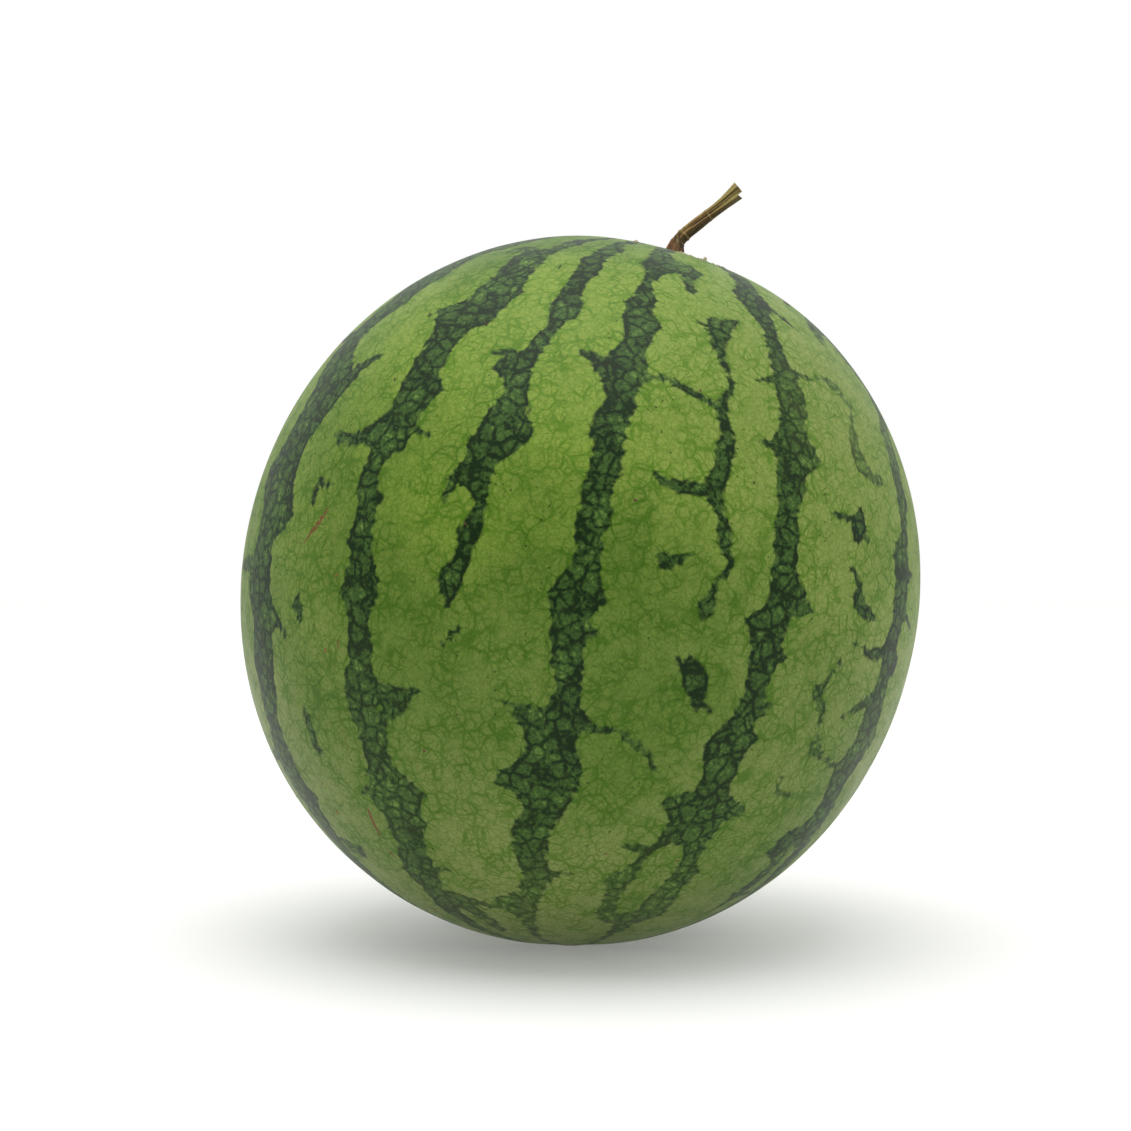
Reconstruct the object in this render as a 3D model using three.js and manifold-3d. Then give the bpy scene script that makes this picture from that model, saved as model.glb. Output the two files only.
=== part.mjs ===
// A round striped watermelon, as picked, standing on its blossom end with a bent dry stem.
//
// Millimetres, +Z up. The fruit's front faces -Y and its stem leans towards +X. The origin lies on the
// surface that the fruit stands on, straight below the middle of the fruit.
//
// Two solids: the fruit, which grew as one piece, and its stem. The stem stands in the shallow hollow
// at the top of the fruit with a hairline of clearance, and the blossom end has a small scar.

import * as THREE from "three";
import { mergeVertices } from "three/addons/utils/BufferGeometryUtils.js";
import Module from "manifold-3d";

const wasm = await Module();
wasm.setup();

// ---------------------------------------------------------------- driving dimensions

const FRUIT = {
  equatorRadius: 119, // half the width across the long axis
  halfLength: 125.5, // half the length along the long axis
  longAxisLean: 15, // degrees from upright, towards +X
  fullness: 0.003, // share by which the shoulders stand proud of a true ellipsoid
  middleHeight: 123, // from the surface it stands on to the middle of the fruit
  segmentsAround: 64,
  segmentsAlong: 46,
  poleCrowding: 0.2, // 0 spaces the rows evenly, more draws them towards both ends
};

// The two ends of the growth lines, in degrees. The fruit grew a little crooked, so they don't face
// each other: the stem end leans far more than the blossom end does.
const GROWTH = {
  stemLean: 16.5, // of the stem end, from straight up towards +X
  blossomLean: 1.5, // of the blossom end, from straight down towards -X
  backTilt: 8.5, // of both: the top tips towards +Y, and the bottom towards -Y
};

// A hollow or a dimple is a bell-shaped dent round one end: its depth, and the angle at which the
// dent has faded to a third.
const STEM_HOLLOW = { depth: 5.5, spread: 12 };
const BLOSSOM_DIMPLE = { depth: 0.8, spread: 5 };
const BLOSSOM_SCAR = { height: 0.8, spread: 2.2 }; // the corky button inside the dimple

const STEM = {
  // Middle line from the hollow's floor, millimetres from the stem end of the growth lines.
  line: [
    [0.9, 0.4, -3.5],
    [0, 0, 0],
    [-0.4, -0.1, 4],
    [-0.1, -0.1, 7.2],
    [0.8, 0, 9.9],
    [3.3, 0.2, 12.9],
    [9.1, 0.2, 17.6],
    [15.8, 0, 22.7],
    [20.3, -0.3, 26.4],
    [23.0, -0.5, 28.6],
  ],
  // Radius at even steps from the buried root to the cut end.
  radii: [5.8, 5.2, 4.3, 3.1, 2.1, 2.1, 2.1, 2.0, 1.95, 2.0, 2.15, 2.5, 2.9],
  ridges: 5,
  ridgeDepth: 0.12, // share of the radius
  fineRidges: 13,
  fineRidgeDepth: 0.035,
  twist: 50, // degrees that the ridges turn from root to end
  sides: 40,
  steps: 34,
  clearance: 0.3, // to the fruit
};

// The split across the broken end: how far inside the end and off the middle line it starts, the angle
// between its flanks, and how far it is turned towards the inner side of the stem's bend.
const END_SPLIT = { depth: 1.9, offset: 0.95, opening: 75, turn: 37 };

const COLOURS = { rind: 0x6f8f45, stem: 0x7b6a43 };

// ---------------------------------------------------------------- shared geometry

const X_AXIS = new THREE.Vector3(1, 0, 0);
const Y_AXIS = new THREE.Vector3(0, 1, 0);

const radians = THREE.MathUtils.degToRad;

// A closed three.js geometry as a manifold-3d solid.
function solidFrom(geometry) {
  const bare = geometry.clone();
  bare.deleteAttribute("normal");
  bare.deleteAttribute("uv");
  const merged = mergeVertices(bare, 1e-4);
  return new wasm.Manifold(
    new wasm.Mesh({
      numProp: 3,
      vertProperties: merged.attributes.position.array,
      triVerts: new Uint32Array(merged.index.array),
    }),
  );
}

// A manifold-3d solid as a geometry that a mesh can show.
function geometryFrom(solid) {
  const mesh = solid.getMesh();
  const geometry = new THREE.BufferGeometry();
  geometry.setAttribute("position", new THREE.BufferAttribute(mesh.vertProperties, 3));
  geometry.setIndex(new THREE.BufferAttribute(mesh.triVerts, 1));
  geometry.computeVertexNormals();
  return geometry;
}

function eachVertex(geometry, move) {
  const position = geometry.attributes.position;
  const vertex = new THREE.Vector3();
  for (let i = 0; i < position.count; i++) {
    vertex.fromBufferAttribute(position, i);
    move(vertex);
    position.setXYZ(i, vertex.x, vertex.y, vertex.z);
  }
  return geometry;
}

// ---------------------------------------------------------------- fruit

// The direction from the middle of the fruit to the place that is polarAngle away from the stem end
// along the growth line with this longitude. Longitude 0 faces +X, and -90 degrees faces the front.
function growthDirection(polarAngle, longitude) {
  const lean = THREE.MathUtils.lerp(GROWTH.stemLean, GROWTH.blossomLean, polarAngle / Math.PI);
  const upright = new THREE.Vector3(
    Math.sin(polarAngle) * Math.cos(longitude),
    Math.sin(polarAngle) * Math.sin(longitude),
    Math.cos(polarAngle),
  );
  return upright
    .applyAxisAngle(Y_AXIS, radians(lean))
    .applyAxisAngle(X_AXIS, radians(-GROWTH.backTilt));
}

const STEM_END = growthDirection(0, 0);
const BLOSSOM_END = growthDirection(Math.PI, 0);

function bell(direction, centre, spread) {
  const angle = THREE.MathUtils.radToDeg(direction.angleTo(centre));
  return Math.exp(-((angle / spread) ** 2));
}

// Distance from the middle of the fruit to its rind in this direction.
function rindRadius(direction) {
  const level = direction.clone().applyAxisAngle(Y_AXIS, radians(-FRUIT.longAxisLean));
  const across = Math.hypot(level.x, level.y);
  const ellipsoid = 1 / Math.hypot(across / FRUIT.equatorRadius, level.z / FRUIT.halfLength);
  const shoulders = 1 - FRUIT.fullness * Math.cos(4 * Math.atan2(across, level.z));
  return (
    ellipsoid * shoulders -
    STEM_HOLLOW.depth * bell(direction, STEM_END, STEM_HOLLOW.spread) -
    BLOSSOM_DIMPLE.depth * bell(direction, BLOSSOM_END, BLOSSOM_DIMPLE.spread) +
    BLOSSOM_SCAR.height * bell(direction, BLOSSOM_END, BLOSSOM_SCAR.spread)
  );
}

function rindPoint(direction, allowance = 0) {
  return direction
    .clone()
    .multiplyScalar(rindRadius(direction) + allowance)
    .add(new THREE.Vector3(0, 0, FRUIT.middleHeight));
}

// The whole rind as a closed skin, grown outwards by allowance: a sphere whose rows follow the growth
// lines, pushed out to the rind.
function rindGeometry(allowance = 0) {
  const { segmentsAround, segmentsAlong, poleCrowding } = FRUIT;
  const sphere = new THREE.SphereGeometry(1, segmentsAround, segmentsAlong).rotateX(Math.PI / 2);
  return eachVertex(sphere, (vertex) => {
    const evenAngle = Math.acos(THREE.MathUtils.clamp(vertex.z, -1, 1));
    const polarAngle = evenAngle - poleCrowding * Math.sin(2 * evenAngle);
    const direction = growthDirection(polarAngle, Math.atan2(vertex.y, vertex.x));
    vertex.copy(rindPoint(direction, allowance));
  });
}

// The fruit with its underside cut flat where it stands.
function fruitSolid() {
  const size = 3 * FRUIT.halfLength;
  const below = new THREE.BoxGeometry(size, size, size).translate(0, 0, -size / 2);
  return solidFrom(rindGeometry()).subtract(solidFrom(below));
}

// ---------------------------------------------------------------- stem

function stemCurve() {
  const foot = rindPoint(STEM_END);
  return new THREE.CatmullRomCurve3(
    STEM.line.map(([x, y, z]) => new THREE.Vector3(x, y, z).add(foot)),
    false,
    "centripetal",
  );
}

// The stem's radius at a share of its length, read between the listed radii.
function stemRadius(along) {
  const place = along * (STEM.radii.length - 1);
  const before = Math.min(Math.floor(place), STEM.radii.length - 2);
  return THREE.MathUtils.lerp(STEM.radii[before], STEM.radii[before + 1], place - before);
}

// How far the ridges lift the skin at an angle round the stem, as a share of the radius.
function ridgeLift(angle, along) {
  const turned = angle + radians(STEM.twist) * along;
  return (
    STEM.ridgeDepth * Math.cos(STEM.ridges * turned) +
    STEM.fineRidgeDepth * Math.cos(STEM.fineRidges * turned)
  );
}

// Three directions at a place on the stem: along it, towards the inner side of its bend, and square
// to both.
function stemFrame(curve, along) {
  const forward = curve.getTangentAt(along);
  const inner = new THREE.Vector3().crossVectors(Y_AXIS, forward).normalize();
  const side = new THREE.Vector3().crossVectors(forward, inner);
  return { forward, inner, side };
}

// A closed cylinder whose rows are laid along the middle line and swelled to the ridged section.
function ridgedStem(curve) {
  const straight = new THREE.CylinderGeometry(1, 1, 1, STEM.sides, STEM.steps);
  return eachVertex(straight, (vertex) => {
    const along = THREE.MathUtils.clamp(vertex.y + 0.5, 0, 1);
    const share = Math.hypot(vertex.x, vertex.z);
    const angle = Math.atan2(vertex.z, vertex.x);
    const radius = share * stemRadius(along) * (1 + ridgeLift(angle, along));
    const { inner, side } = stemFrame(curve, along);
    vertex
      .copy(curve.getPointAt(along))
      .addScaledVector(side, radius * Math.cos(angle))
      .addScaledVector(inner, radius * Math.sin(angle));
  });
}

// The wedge that the split leaves open.
function endWedge(curve) {
  const { depth, offset, opening, turn } = END_SPLIT;
  const reach = 4 * STEM.radii.at(-1);
  const corner = (angle) => new THREE.Vector2(reach, 0).rotateAround(new THREE.Vector2(), radians(angle));
  const outline = new THREE.Shape([
    new THREE.Vector2(),
    corner(turn - opening / 2),
    corner(turn + opening / 2),
  ]);
  const wedge = new THREE.ExtrudeGeometry(outline, { depth: reach, bevelEnabled: false });
  const { forward, inner, side } = stemFrame(curve, 1);
  const edge = curve.getPointAt(1).addScaledVector(forward, -depth).addScaledVector(inner, offset);
  return wedge
    .translate(0, 0, -reach / 2)
    .applyMatrix4(new THREE.Matrix4().makeBasis(forward, inner, side).setPosition(edge));
}

// The stem with its root cut to the hollow's floor, and its end split.
function stemSolid() {
  const curve = stemCurve();
  return solidFrom(ridgedStem(curve))
    .subtract(solidFrom(rindGeometry(STEM.clearance)))
    .subtract(solidFrom(endWedge(curve)));
}

// ---------------------------------------------------------------- watermelon

function piece(name, solid, colour, roughness) {
  const material = new THREE.MeshStandardMaterial({ color: colour, roughness, metalness: 0 });
  const mesh = new THREE.Mesh(geometryFrom(solid), material);
  mesh.name = name;
  return mesh;
}

const watermelon = new THREE.Group();
watermelon.name = "watermelon";
watermelon.add(
  piece("fruit", fruitSolid(), COLOURS.rind, 0.42),
  piece("stem", stemSolid(), COLOURS.stem, 0.85),
);

export default watermelon;
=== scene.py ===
# A round striped watermelon standing on its blossom end, with a bent dry stem.
#
# Metres, +Z up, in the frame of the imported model. The rind is one skin made by Geometry Nodes from the
# same few sizes as the solid, and the stem follows its own middle line. The stripes are laid out in
# growth coordinates: the polar angle from the stem end, and the longitude of the growth line, where
# 0 faces +X and -90 degrees faces the front.

import math
import random
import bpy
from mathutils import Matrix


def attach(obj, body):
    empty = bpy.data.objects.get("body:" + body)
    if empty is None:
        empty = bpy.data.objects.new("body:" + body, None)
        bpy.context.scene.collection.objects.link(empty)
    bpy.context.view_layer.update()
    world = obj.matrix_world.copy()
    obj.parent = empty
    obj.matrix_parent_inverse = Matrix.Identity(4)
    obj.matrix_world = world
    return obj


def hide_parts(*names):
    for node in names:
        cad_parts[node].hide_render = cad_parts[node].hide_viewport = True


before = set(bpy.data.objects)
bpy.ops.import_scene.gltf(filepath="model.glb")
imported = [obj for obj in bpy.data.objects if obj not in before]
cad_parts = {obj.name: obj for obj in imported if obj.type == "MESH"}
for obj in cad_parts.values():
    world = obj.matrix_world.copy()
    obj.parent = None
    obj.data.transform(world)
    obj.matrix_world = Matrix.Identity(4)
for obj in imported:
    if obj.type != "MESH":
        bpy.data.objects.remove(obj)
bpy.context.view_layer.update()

from types import SimpleNamespace

import bpy
import numpy as np
from mathutils import Matrix, Vector

MM = 0.001

# ---------------------------------------------------------------- sizes, in millimetres and degrees

EQUATOR_RADIUS = 119.0
HALF_LENGTH = 125.5
LONG_AXIS_LEAN = 15.0  # from upright, towards +X
FULLNESS = 0.003  # share by which the shoulders stand proud of a true ellipsoid
MIDDLE_HEIGHT = 123.0  # from the floor to the middle of the fruit

# The two ends of the growth lines. The fruit grew a little crooked, so they don't face each other.
STEM_LEAN = 16.5  # of the stem end, from straight up towards +X
BLOSSOM_LEAN = 1.5  # of the blossom end, from straight down towards -X
BACK_TILT = 8.5  # of both: the top tips towards +Y, and the bottom towards -Y

STEM_HOLLOW = (5.5, 12.0)  # depth, and the angle at which the dent has faded to a third
BLOSSOM_DIMPLE = (0.8, 5.0)
BLOSSOM_SCAR = (-0.8, 2.2)  # a negative depth stands proud

SKIN_CELLS = 128  # along each side of the cube that is blown up into the skin
UNEVENNESS = 0.25  # the most that the skin swells and sinks
UNEVENNESS_SPAN = 38.0  # how broad a swelling is

MM_PER_DEGREE = 2.1  # how far a degree reaches over the rind

# ---------------------------------------------------------------- stripes

# Each row of a main stripe: the polar angle, then the longitudes of its left and right edges.
LEFT_LIMB_STRIPE = [
    (27, -157, -140), (30, -157, -139.6), (33, -160, -142), (35, -163, -147), (40, -166, -145.3),
    (43, -166, -144.6), (47, -158.5, -146.5), (50, -158, -145.7), (53.5, -158.5, -149),
    (57, -159.5, -150.3), (60, -160.5, -149.4), (62, -159.5, -146.6), (64, -158.4, -143.7),
    (65, -158, -140.5), (67, -156.2, -142), (70, -156.6, -143.5), (73, -156.4, -145),
    (77, -158, -147.1), (80, -161.2, -147.3), (83, -160.9, -147), (85, -159.2, -146),
    (88, -157.5, -144.5), (90, -157.3, -146.6), (91.5, -158, -149.8), (95, -159.8, -150),
    (97, -161.2, -150), (100, -160.1, -149.4), (103, -158, -147), (104.5, -158, -145),
    (105.5, -158, -149.8), (110, -160, -150), (115, -160, -151.4), (117, -160.5, -153.2),
    (120, -161.2, -154.2), (125, -164.8, -154.4), (130, -165.5, -154), (131.5, -164.5, -151.4),
    (133, -163.7, -154.4), (138, -165.5, -156.2), (144, -170, -158.7), (150, -170, -160.9),
    (155, -170, -164), (166, -172, -165),
]
LEFT_STRIPE = [
    (22, -120, -116.6), (25, -124.8, -118.7), (28, -125.3, -117.8), (30, -124.6, -119.6),
    (33, -126, -120.5), (35, -130.9, -120.3), (37, -129.6, -119.2), (40, -128.5, -118.5),
    (43, -127.1, -117.8), (46, -127.3, -115.7), (48, -127.3, -117.1), (50, -128.4, -116.9),
    (52, -132.3, -117.3), (54, -130.5, -118), (55, -129.2, -120.3), (57, -128.5, -121.4),
    (62, -128.5, -121.7), (65, -128, -120.7), (66.5, -128.4, -118.7), (68, -127.8, -120.3),
    (72, -129.2, -121.6), (73.5, -131.6, -121.9), (75, -133, -122.1), (77, -129.8, -122.3),
    (78, -129, -124.6), (80, -129.2, -126), (83, -129.6, -125.3), (84.5, -129.2, -123.7),
    (87, -128.4, -124.4), (91.5, -129.4, -124.2), (93, -128.4, -124), (97, -129, -122.1),
    (99, -129.8, -122.3), (103, -128, -124), (107, -128.4, -123), (109, -128, -123.7),
    (111, -129.8, -123.2), (113, -130, -121.2), (115, -129.8, -117.3), (117, -129.6, -118.7),
    (118, -129.4, -121.9), (120, -128.9, -122.3), (125, -128.4, -122.6), (126.5, -129.8, -120.5),
    (128, -130.1, -118.4), (129.5, -132.3, -116.8), (131, -131.2, -118.7), (135, -130, -119.4),
    (137, -130.7, -121.6), (140, -131, -122.6), (142, -133.7, -123.2), (145, -136.4, -124),
    (148, -136, -126.2), (152, -137.6, -128), (155, -141.5, -130), (158, -142, -133),
    (166, -145, -137),
]
SHORT_STRIPE = [
    (21, -109.8, -104.4), (23, -110.1, -105.9), (25, -110.7, -105), (28, -110.7, -102.5),
    (30, -110.3, -103.7), (34, -110.7, -104.1), (38, -109.1, -102.8), (40, -108.4, -103.9),
    (44, -107.8, -103.4), (46, -107.6, -102.1), (48, -108, -100.9), (50, -106.8, -101.8),
    (52.5, -106.3, -103.7), (56, -107.3, -104.1), (58, -108.2, -104.8), (59.5, -109.8, -105),
    (60.5, -112.8, -105.1), (62, -111.9, -105), (64.5, -108.5, -104.4), (67, -108.7, -103.5),
    (70, -109.8, -102.1), (72, -110.3, -101), (74, -111, -102.3), (75.5, -111.2, -103.4),
    (77, -111.2, -105.3), (79, -112.1, -105.9), (80.5, -113, -105.9), (82, -108.7, -105.9),
    (84, -107.6, -105.7), (86, -108.2, -105.7), (88, -109.6, -105.7), (92, -109.3, -106.8),
    (94, -111.2, -107.3), (96, -111.9, -107.8), (97.5, -110.9, -108.4), (99.5, -110, -109.5),
]
FRONT_STRIPE = [
    (22, -95, -87.6), (25, -94.8, -87), (27, -94.3, -84), (31.5, -94.8, -84), (33, -92.3, -86.9),
    (35, -91.8, -88.2), (38.5, -91.6, -88.7), (40, -92.5, -88.4), (42, -92.1, -86.9),
    (44, -93.4, -87.1), (46, -93.2, -86.9), (48, -92.5, -84.1), (49.5, -91.9, -85.9),
    (52, -91, -85.9), (54, -91.6, -86.2), (57, -93.7, -85.5), (58.8, -95.5, -84.2),
    (60, -93.4, -85.7), (62, -92.3, -86.2), (64, -90.9, -85.9), (68, -92.6, -86.6),
    (70.5, -92.3, -86.4), (72, -91.2, -86.4), (75, -91.4, -85.9), (79.5, -91.6, -87.1),
    (81.5, -91.2, -86.4), (84, -91.8, -86.6), (89.5, -90.9, -86.9), (93, -92.6, -86.4),
    (94.5, -93.9, -85.5), (95.5, -93.9, -85), (97, -93.9, -86.6), (99, -93, -86.9),
    (100.5, -93, -85.6), (102, -93, -87.5), (106, -92.5, -87.3), (108, -91.4, -87.3),
    (111.5, -91.9, -87.3), (113, -93.4, -86.2), (114.5, -98.5, -85.1), (116, -96.9, -86.2),
    (118, -95.9, -87.6), (120, -96, -86.6), (121.5, -96.6, -86), (123, -98.7, -85.7),
    (124.5, -101.6, -85.9), (126, -101.9, -86.2), (128, -97.8, -87.3), (130, -96.2, -88),
    (132, -97.8, -89.8), (134, -99.3, -91), (138, -100, -91.8), (142, -99.4, -91.9),
    (143.5, -98.7, -89), (145, -98.5, -90.9), (147, -100.7, -93), (150, -102.3, -94.8),
    (152, -108.4, -96.6), (154, -109.8, -97.3), (157, -106.6, -100.1), (160, -106.6, -101.2),
    (165, -108.4, -103.7),
]
RIGHT_STRIPE = [
    (18, -64, -55), (22, -63.4, -52.3), (25, -63, -53.7), (30, -64.1, -54.1), (32, -66.2, -53.5),
    (34, -65.9, -52.8), (36, -63.7, -55.5), (40, -61.2, -56), (44, -60.5, -56.2), (48, -60.5, -55.7),
    (50, -60.5, -53.2), (52, -60.1, -54.1), (54, -60, -53), (58, -59.4, -53.2), (60, -59.6, -53.9),
    (62, -60, -53.7), (63.5, -60.7, -52.3), (65, -62.6, -51.2), (66, -61.6, -50.7),
    (67.5, -60.3, -52.3), (70, -60.3, -54.8), (72, -60.5, -54.2), (76, -59.8, -55.9),
    (80, -60, -55), (85, -59.6, -55), (88, -59.4, -52.8), (91.3, -59.4, -50.3), (93, -61.8, -54.8),
    (94.5, -62.8, -55), (97.5, -61.2, -55.3), (99.5, -60.7, -53.5), (101, -60.7, -55.5),
    (106, -60.1, -56.2), (107.5, -60.3, -54.2), (109, -60.7, -54.8), (110.5, -61, -56.9),
    (112, -62.6, -56.2), (113.5, -63.4, -54.6), (115, -64.2, -55.9), (117, -64.6, -56.4),
    (120, -63.2, -56.4), (122, -63, -56.9), (124, -63.7, -55.9), (124.8, -66.6, -53.7),
    (126, -69.4, -51.2), (127.5, -69.2, -50.9), (128.5, -67.5, -53.7), (132, -66.9, -55.1),
    (134, -67.5, -55.3), (135, -67.5, -61),
]
RIGHT_STRIPE_LEFT_LEG = [
    (132.5, -67, -62.5), (135, -68.2, -65.1), (137, -71.2, -68), (139, -70.5, -68.9),
    (141, -73, -69.2), (143, -76.2, -69.2), (145, -77.5, -69.8), (146, -75.9, -70.9),
    (150, -76.2, -71.2), (152, -76.6, -70.9), (154, -76.6, -68), (156, -75.5, -66),
    (158, -70, -64),
]
RIGHT_STRIPE_RIGHT_LEG = [
    (132.5, -63, -55.2), (135, -61.2, -55.3), (137, -59.4, -55), (139, -59.3, -54.6),
    (141, -59.7, -52.3), (143, -60.1, -52.8), (145, -60.7, -53.9), (149, -62.1, -51.9),
    (151, -62.3, -51.4), (153, -62, -50.5), (154, -66, -50.9), (155, -68, -53.9),
    (157, -67.5, -56.2), (161, -66.6, -59), (165, -66, -61.6),
]
RIGHT_LIMB_STRIPE = [
    (35, -25.1, -12), (40, -24.4, -12), (42, -21.2, -12), (45, -19.4, -12), (48, -21.6, -13),
    (50, -20.9, -14), (52, -23.7, -17.4), (54, -25.9, -19.8), (60, -26.2, -20.1), (63, -26.4, -21.6),
    (67, -26.2, -19.8), (70, -25.9, -22.1), (73, -25.9, -22.5), (74.5, -27.3, -22.8),
    (76, -29.4, -22.8), (78, -30, -22.6), (79.7, -29.1, -19.8), (82, -28.7, -22.3),
    (86, -28.4, -21.8), (87.3, -28.2, -20.5), (88.5, -28, -23), (93, -29.3, -23.9),
    (95, -30.3, -21.6), (97, -28.5, -21.6), (99, -28, -23), (101, -28.4, -23.4), (103, -30.1, -22.3),
    (107, -29.1, -21.6), (109, -28.7, -19.8), (113, -29.3, -20.7), (116, -31.4, -21.9),
    (120, -29.6, -22.6), (124, -28.4, -20.1), (126, -27.6, -19.8), (128, -29.1, -18.4),
    (130, -33.4, -19.3), (132, -34.3, -17.6), (133, -34.4, -22),
]
RIGHT_LIMB_LEFT_LEG = [
    (131, -34, -25), (133, -34.4, -25.7), (135, -34.8, -25.1), (137, -28.7, -24.6), (140, -28.2, -23),
    (145, -28.2, -23), (147, -26.9, -23.5), (150, -26.2, -24.5), (152, -25.5, -25),
]
RIGHT_LIMB_RIGHT_LEG = [
    (131, -22.5, -17), (133, -21.4, -16.5), (136, -21.2, -14), (140, -19.4, -12), (143, -16.9, -11),
    (150, -15, -9), (165, -17, -8),
]

# Each line of a vein: the polar angle, the longitude and half its width, all in degrees.
LEFT_LIMB_SPURS = [
    [(64, -143, 1.2), (62.5, -140, 0.7), (61, -137.3, 0.2)],
    [(104.8, -146, 0.6), (105.2, -145, 0.4), (106.6, -144.6, 0.2)],
    [(56.5, -160, 1.2), (56.5, -168, 0.5)], [(95, -160, 1.2), (95, -170, 0.5)],
    [(124.5, -163, 1.3), (124.5, -169, 0.6)],
    [(140, -157, 1), (140.5, -152, 0.8), (141, -148, 0.4)], [(141, -156, 1), (142.5, -150, 0.5)],
]
LEFT_SPURS = [
    [(34.2, -126, 1.5), (33, -130, 1.5), (32.3, -133, 1.3), (33.9, -135, 0.9)],
    [(75.5, -131.5, 1.2), (76, -136, 0.9), (75.5, -138.7, 0.6)], [(52, -131, 0.5), (53, -133.4, 0.2)],
    [(73.5, -122, 0.4), (74.3, -118, 0.2)], [(113, -122, 1.2), (113.5, -118, 1), (112.5, -115, 0.6)],
    [(117.3, -122.5, 0.9), (116, -120, 0.8), (114.5, -117.5, 0.8)],
    [(130, -130.5, 0.5), (130, -133.2, 0.2)], [(144.5, -124, 0.6), (144.5, -119.8, 0.2)],
    [(151, -127, 1.2), (152, -121, 0.8), (153.3, -116, 0.7), (153.8, -113, 0.8), (152.3, -110, 1.1),
     (151, -105, 1), (149.5, -101, 1)],
    [(152.5, -127, 1.6), (156.3, -123, 1.4), (160, -123.4, 1.3), (163, -125.5, 1)],
]
SHORT_SPURS = [
    [(81, -112, 0.8), (84, -112.7, 0.3)], [(59, -109.5, 0.8), (59, -113.3, 0.3)],
    [(103.5, -109, 0.3), (102.5, -107.5, 0.3)], [(104.7, -110.5, 0.3), (105.3, -110.1, 0.2)],
]
FRONT_SPURS = [
    [(57.6, -93, 1.2), (56.9, -95.5, 0.8), (56.3, -98.3, 0.3)],
    [(28.8, -87, 3.3), (29, -83, 2.8), (29.3, -79.5, 2.2), (32, -80.5, 0.8), (34.5, -80, 0.6),
     (36.5, -79, 0.8)],
    [(29.5, -79, 1.2), (32, -78.3, 0.3)],
    [(113.8, -95, 0.9), (113, -98, 0.5), (112.7, -99.6, 0.2)],
    [(115.3, -86, 0.7), (115.3, -83, 0.4), (115.2, -80, 0.3), (116, -79, 0.5), (117, -77.5, 0.8),
     (117.5, -76, 0.6), (118.5, -74.3, 0.35), (120, -73.5, 0.4), (121, -72.3, 0.2)],
    [(143.6, -90.5, 0.5), (143.4, -86, 0.2)],
]
RIGHT_SPURS = [
    [(34.5, -53, 0.7), (36, -49.5, 0.4), (37.5, -46.5, 0.2)], [(49.8, -53, 0.5), (50, -49.5, 0.2)],
    [(52.8, -60, 0.5), (54, -64, 0.2)], [(65.3, -62, 0.5), (65.5, -64, 0.2)],
    [(136.3, -70, 1), (136.2, -75, 0.4)],
]
RIGHT_LIMB_SPURS = [
    [(87.5, -21, 0.6), (89, -17, 0.3)],
    [(95.3, -30, 0.9), (95.3, -32, 1), (95.6, -33.5, 0.8), (95, -36, 0.4), (94.5, -39.5, 0.2)],
    [(103.5, -30, 1), (105, -32, 0.6), (106, -34.5, 0.3), (107.5, -36.5, 0.2)],
    [(146, -28, 0.7), (146, -17, 0.6)],
]
# The broken stripe between the front stripe and the right one.
BROKEN_STRIPE = [
    [(42.8, -69.3, 0.8), (44.7, -70.2, 1), (46.8, -72, 1.3), (48, -72.5, 1.3), (50, -72, 0.8),
     (52.5, -71.3, 0.45), (54, -70, 0.35), (57, -69.3, 0.5), (59, -70.5, 0.5), (61, -71.5, 1),
     (64, -70.5, 0.9), (66, -69.5, 1), (68, -70, 1.5), (71.5, -70.2, 1.3), (75.5, -71.5, 1.6),
     (78, -70, 0.8), (79.5, -69.3, 0.6), (81, -68.7, 1.1), (83, -68.3, 1.2), (84, -68.2, 0.8),
     (86, -66.7, 0.35), (88, -67.3, 0.45), (89.5, -68.5, 0.3), (91, -69.2, 0.5), (93.5, -69.5, 1.5),
     (95, -69.8, 0.8)],
    [(87, -78.8, 0.4), (88, -77, 1.3), (87.3, -75, 0.6), (86.2, -73.3, 0.25)],
    [(102, -70.8, 0.8), (103.5, -70.3, 1.6), (105.5, -69, 2.1), (107.5, -68.3, 1.3),
     (109.7, -67.7, 0.6)],
]
BROKEN_STRIPE_SPURS = [
    [(43.4, -74.3, 0.6), (43.3, -71.5, 0.9), (42.7, -69, 0.8), (41.5, -67.3, 0.2)],
    [(43.4, -74, 0.6), (45, -73.4, 0.8), (46.8, -72.6, 1.2)],
    [(45, -73.8, 0.5), (45, -75.5, 0.4), (44.5, -77, 0.2)],
    [(75.5, -71.5, 1.3), (75.7, -74, 0.9), (76, -77, 1), (75.8, -79.5, 0.6), (74.7, -81, 0.25)],
    [(58.5, -84.5, 0.5), (58.2, -81.5, 0.45), (59.3, -79, 0.5), (59.5, -77.5, 0.5), (60.3, -75, 0.45),
     (61, -73, 0.45), (61, -71.8, 0.5)],
    [(102.3, -73, 0.25), (103.5, -71.5, 0.4)], [(109, -67.5, 0.4), (110, -65.3, 0.25)],
]
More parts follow.
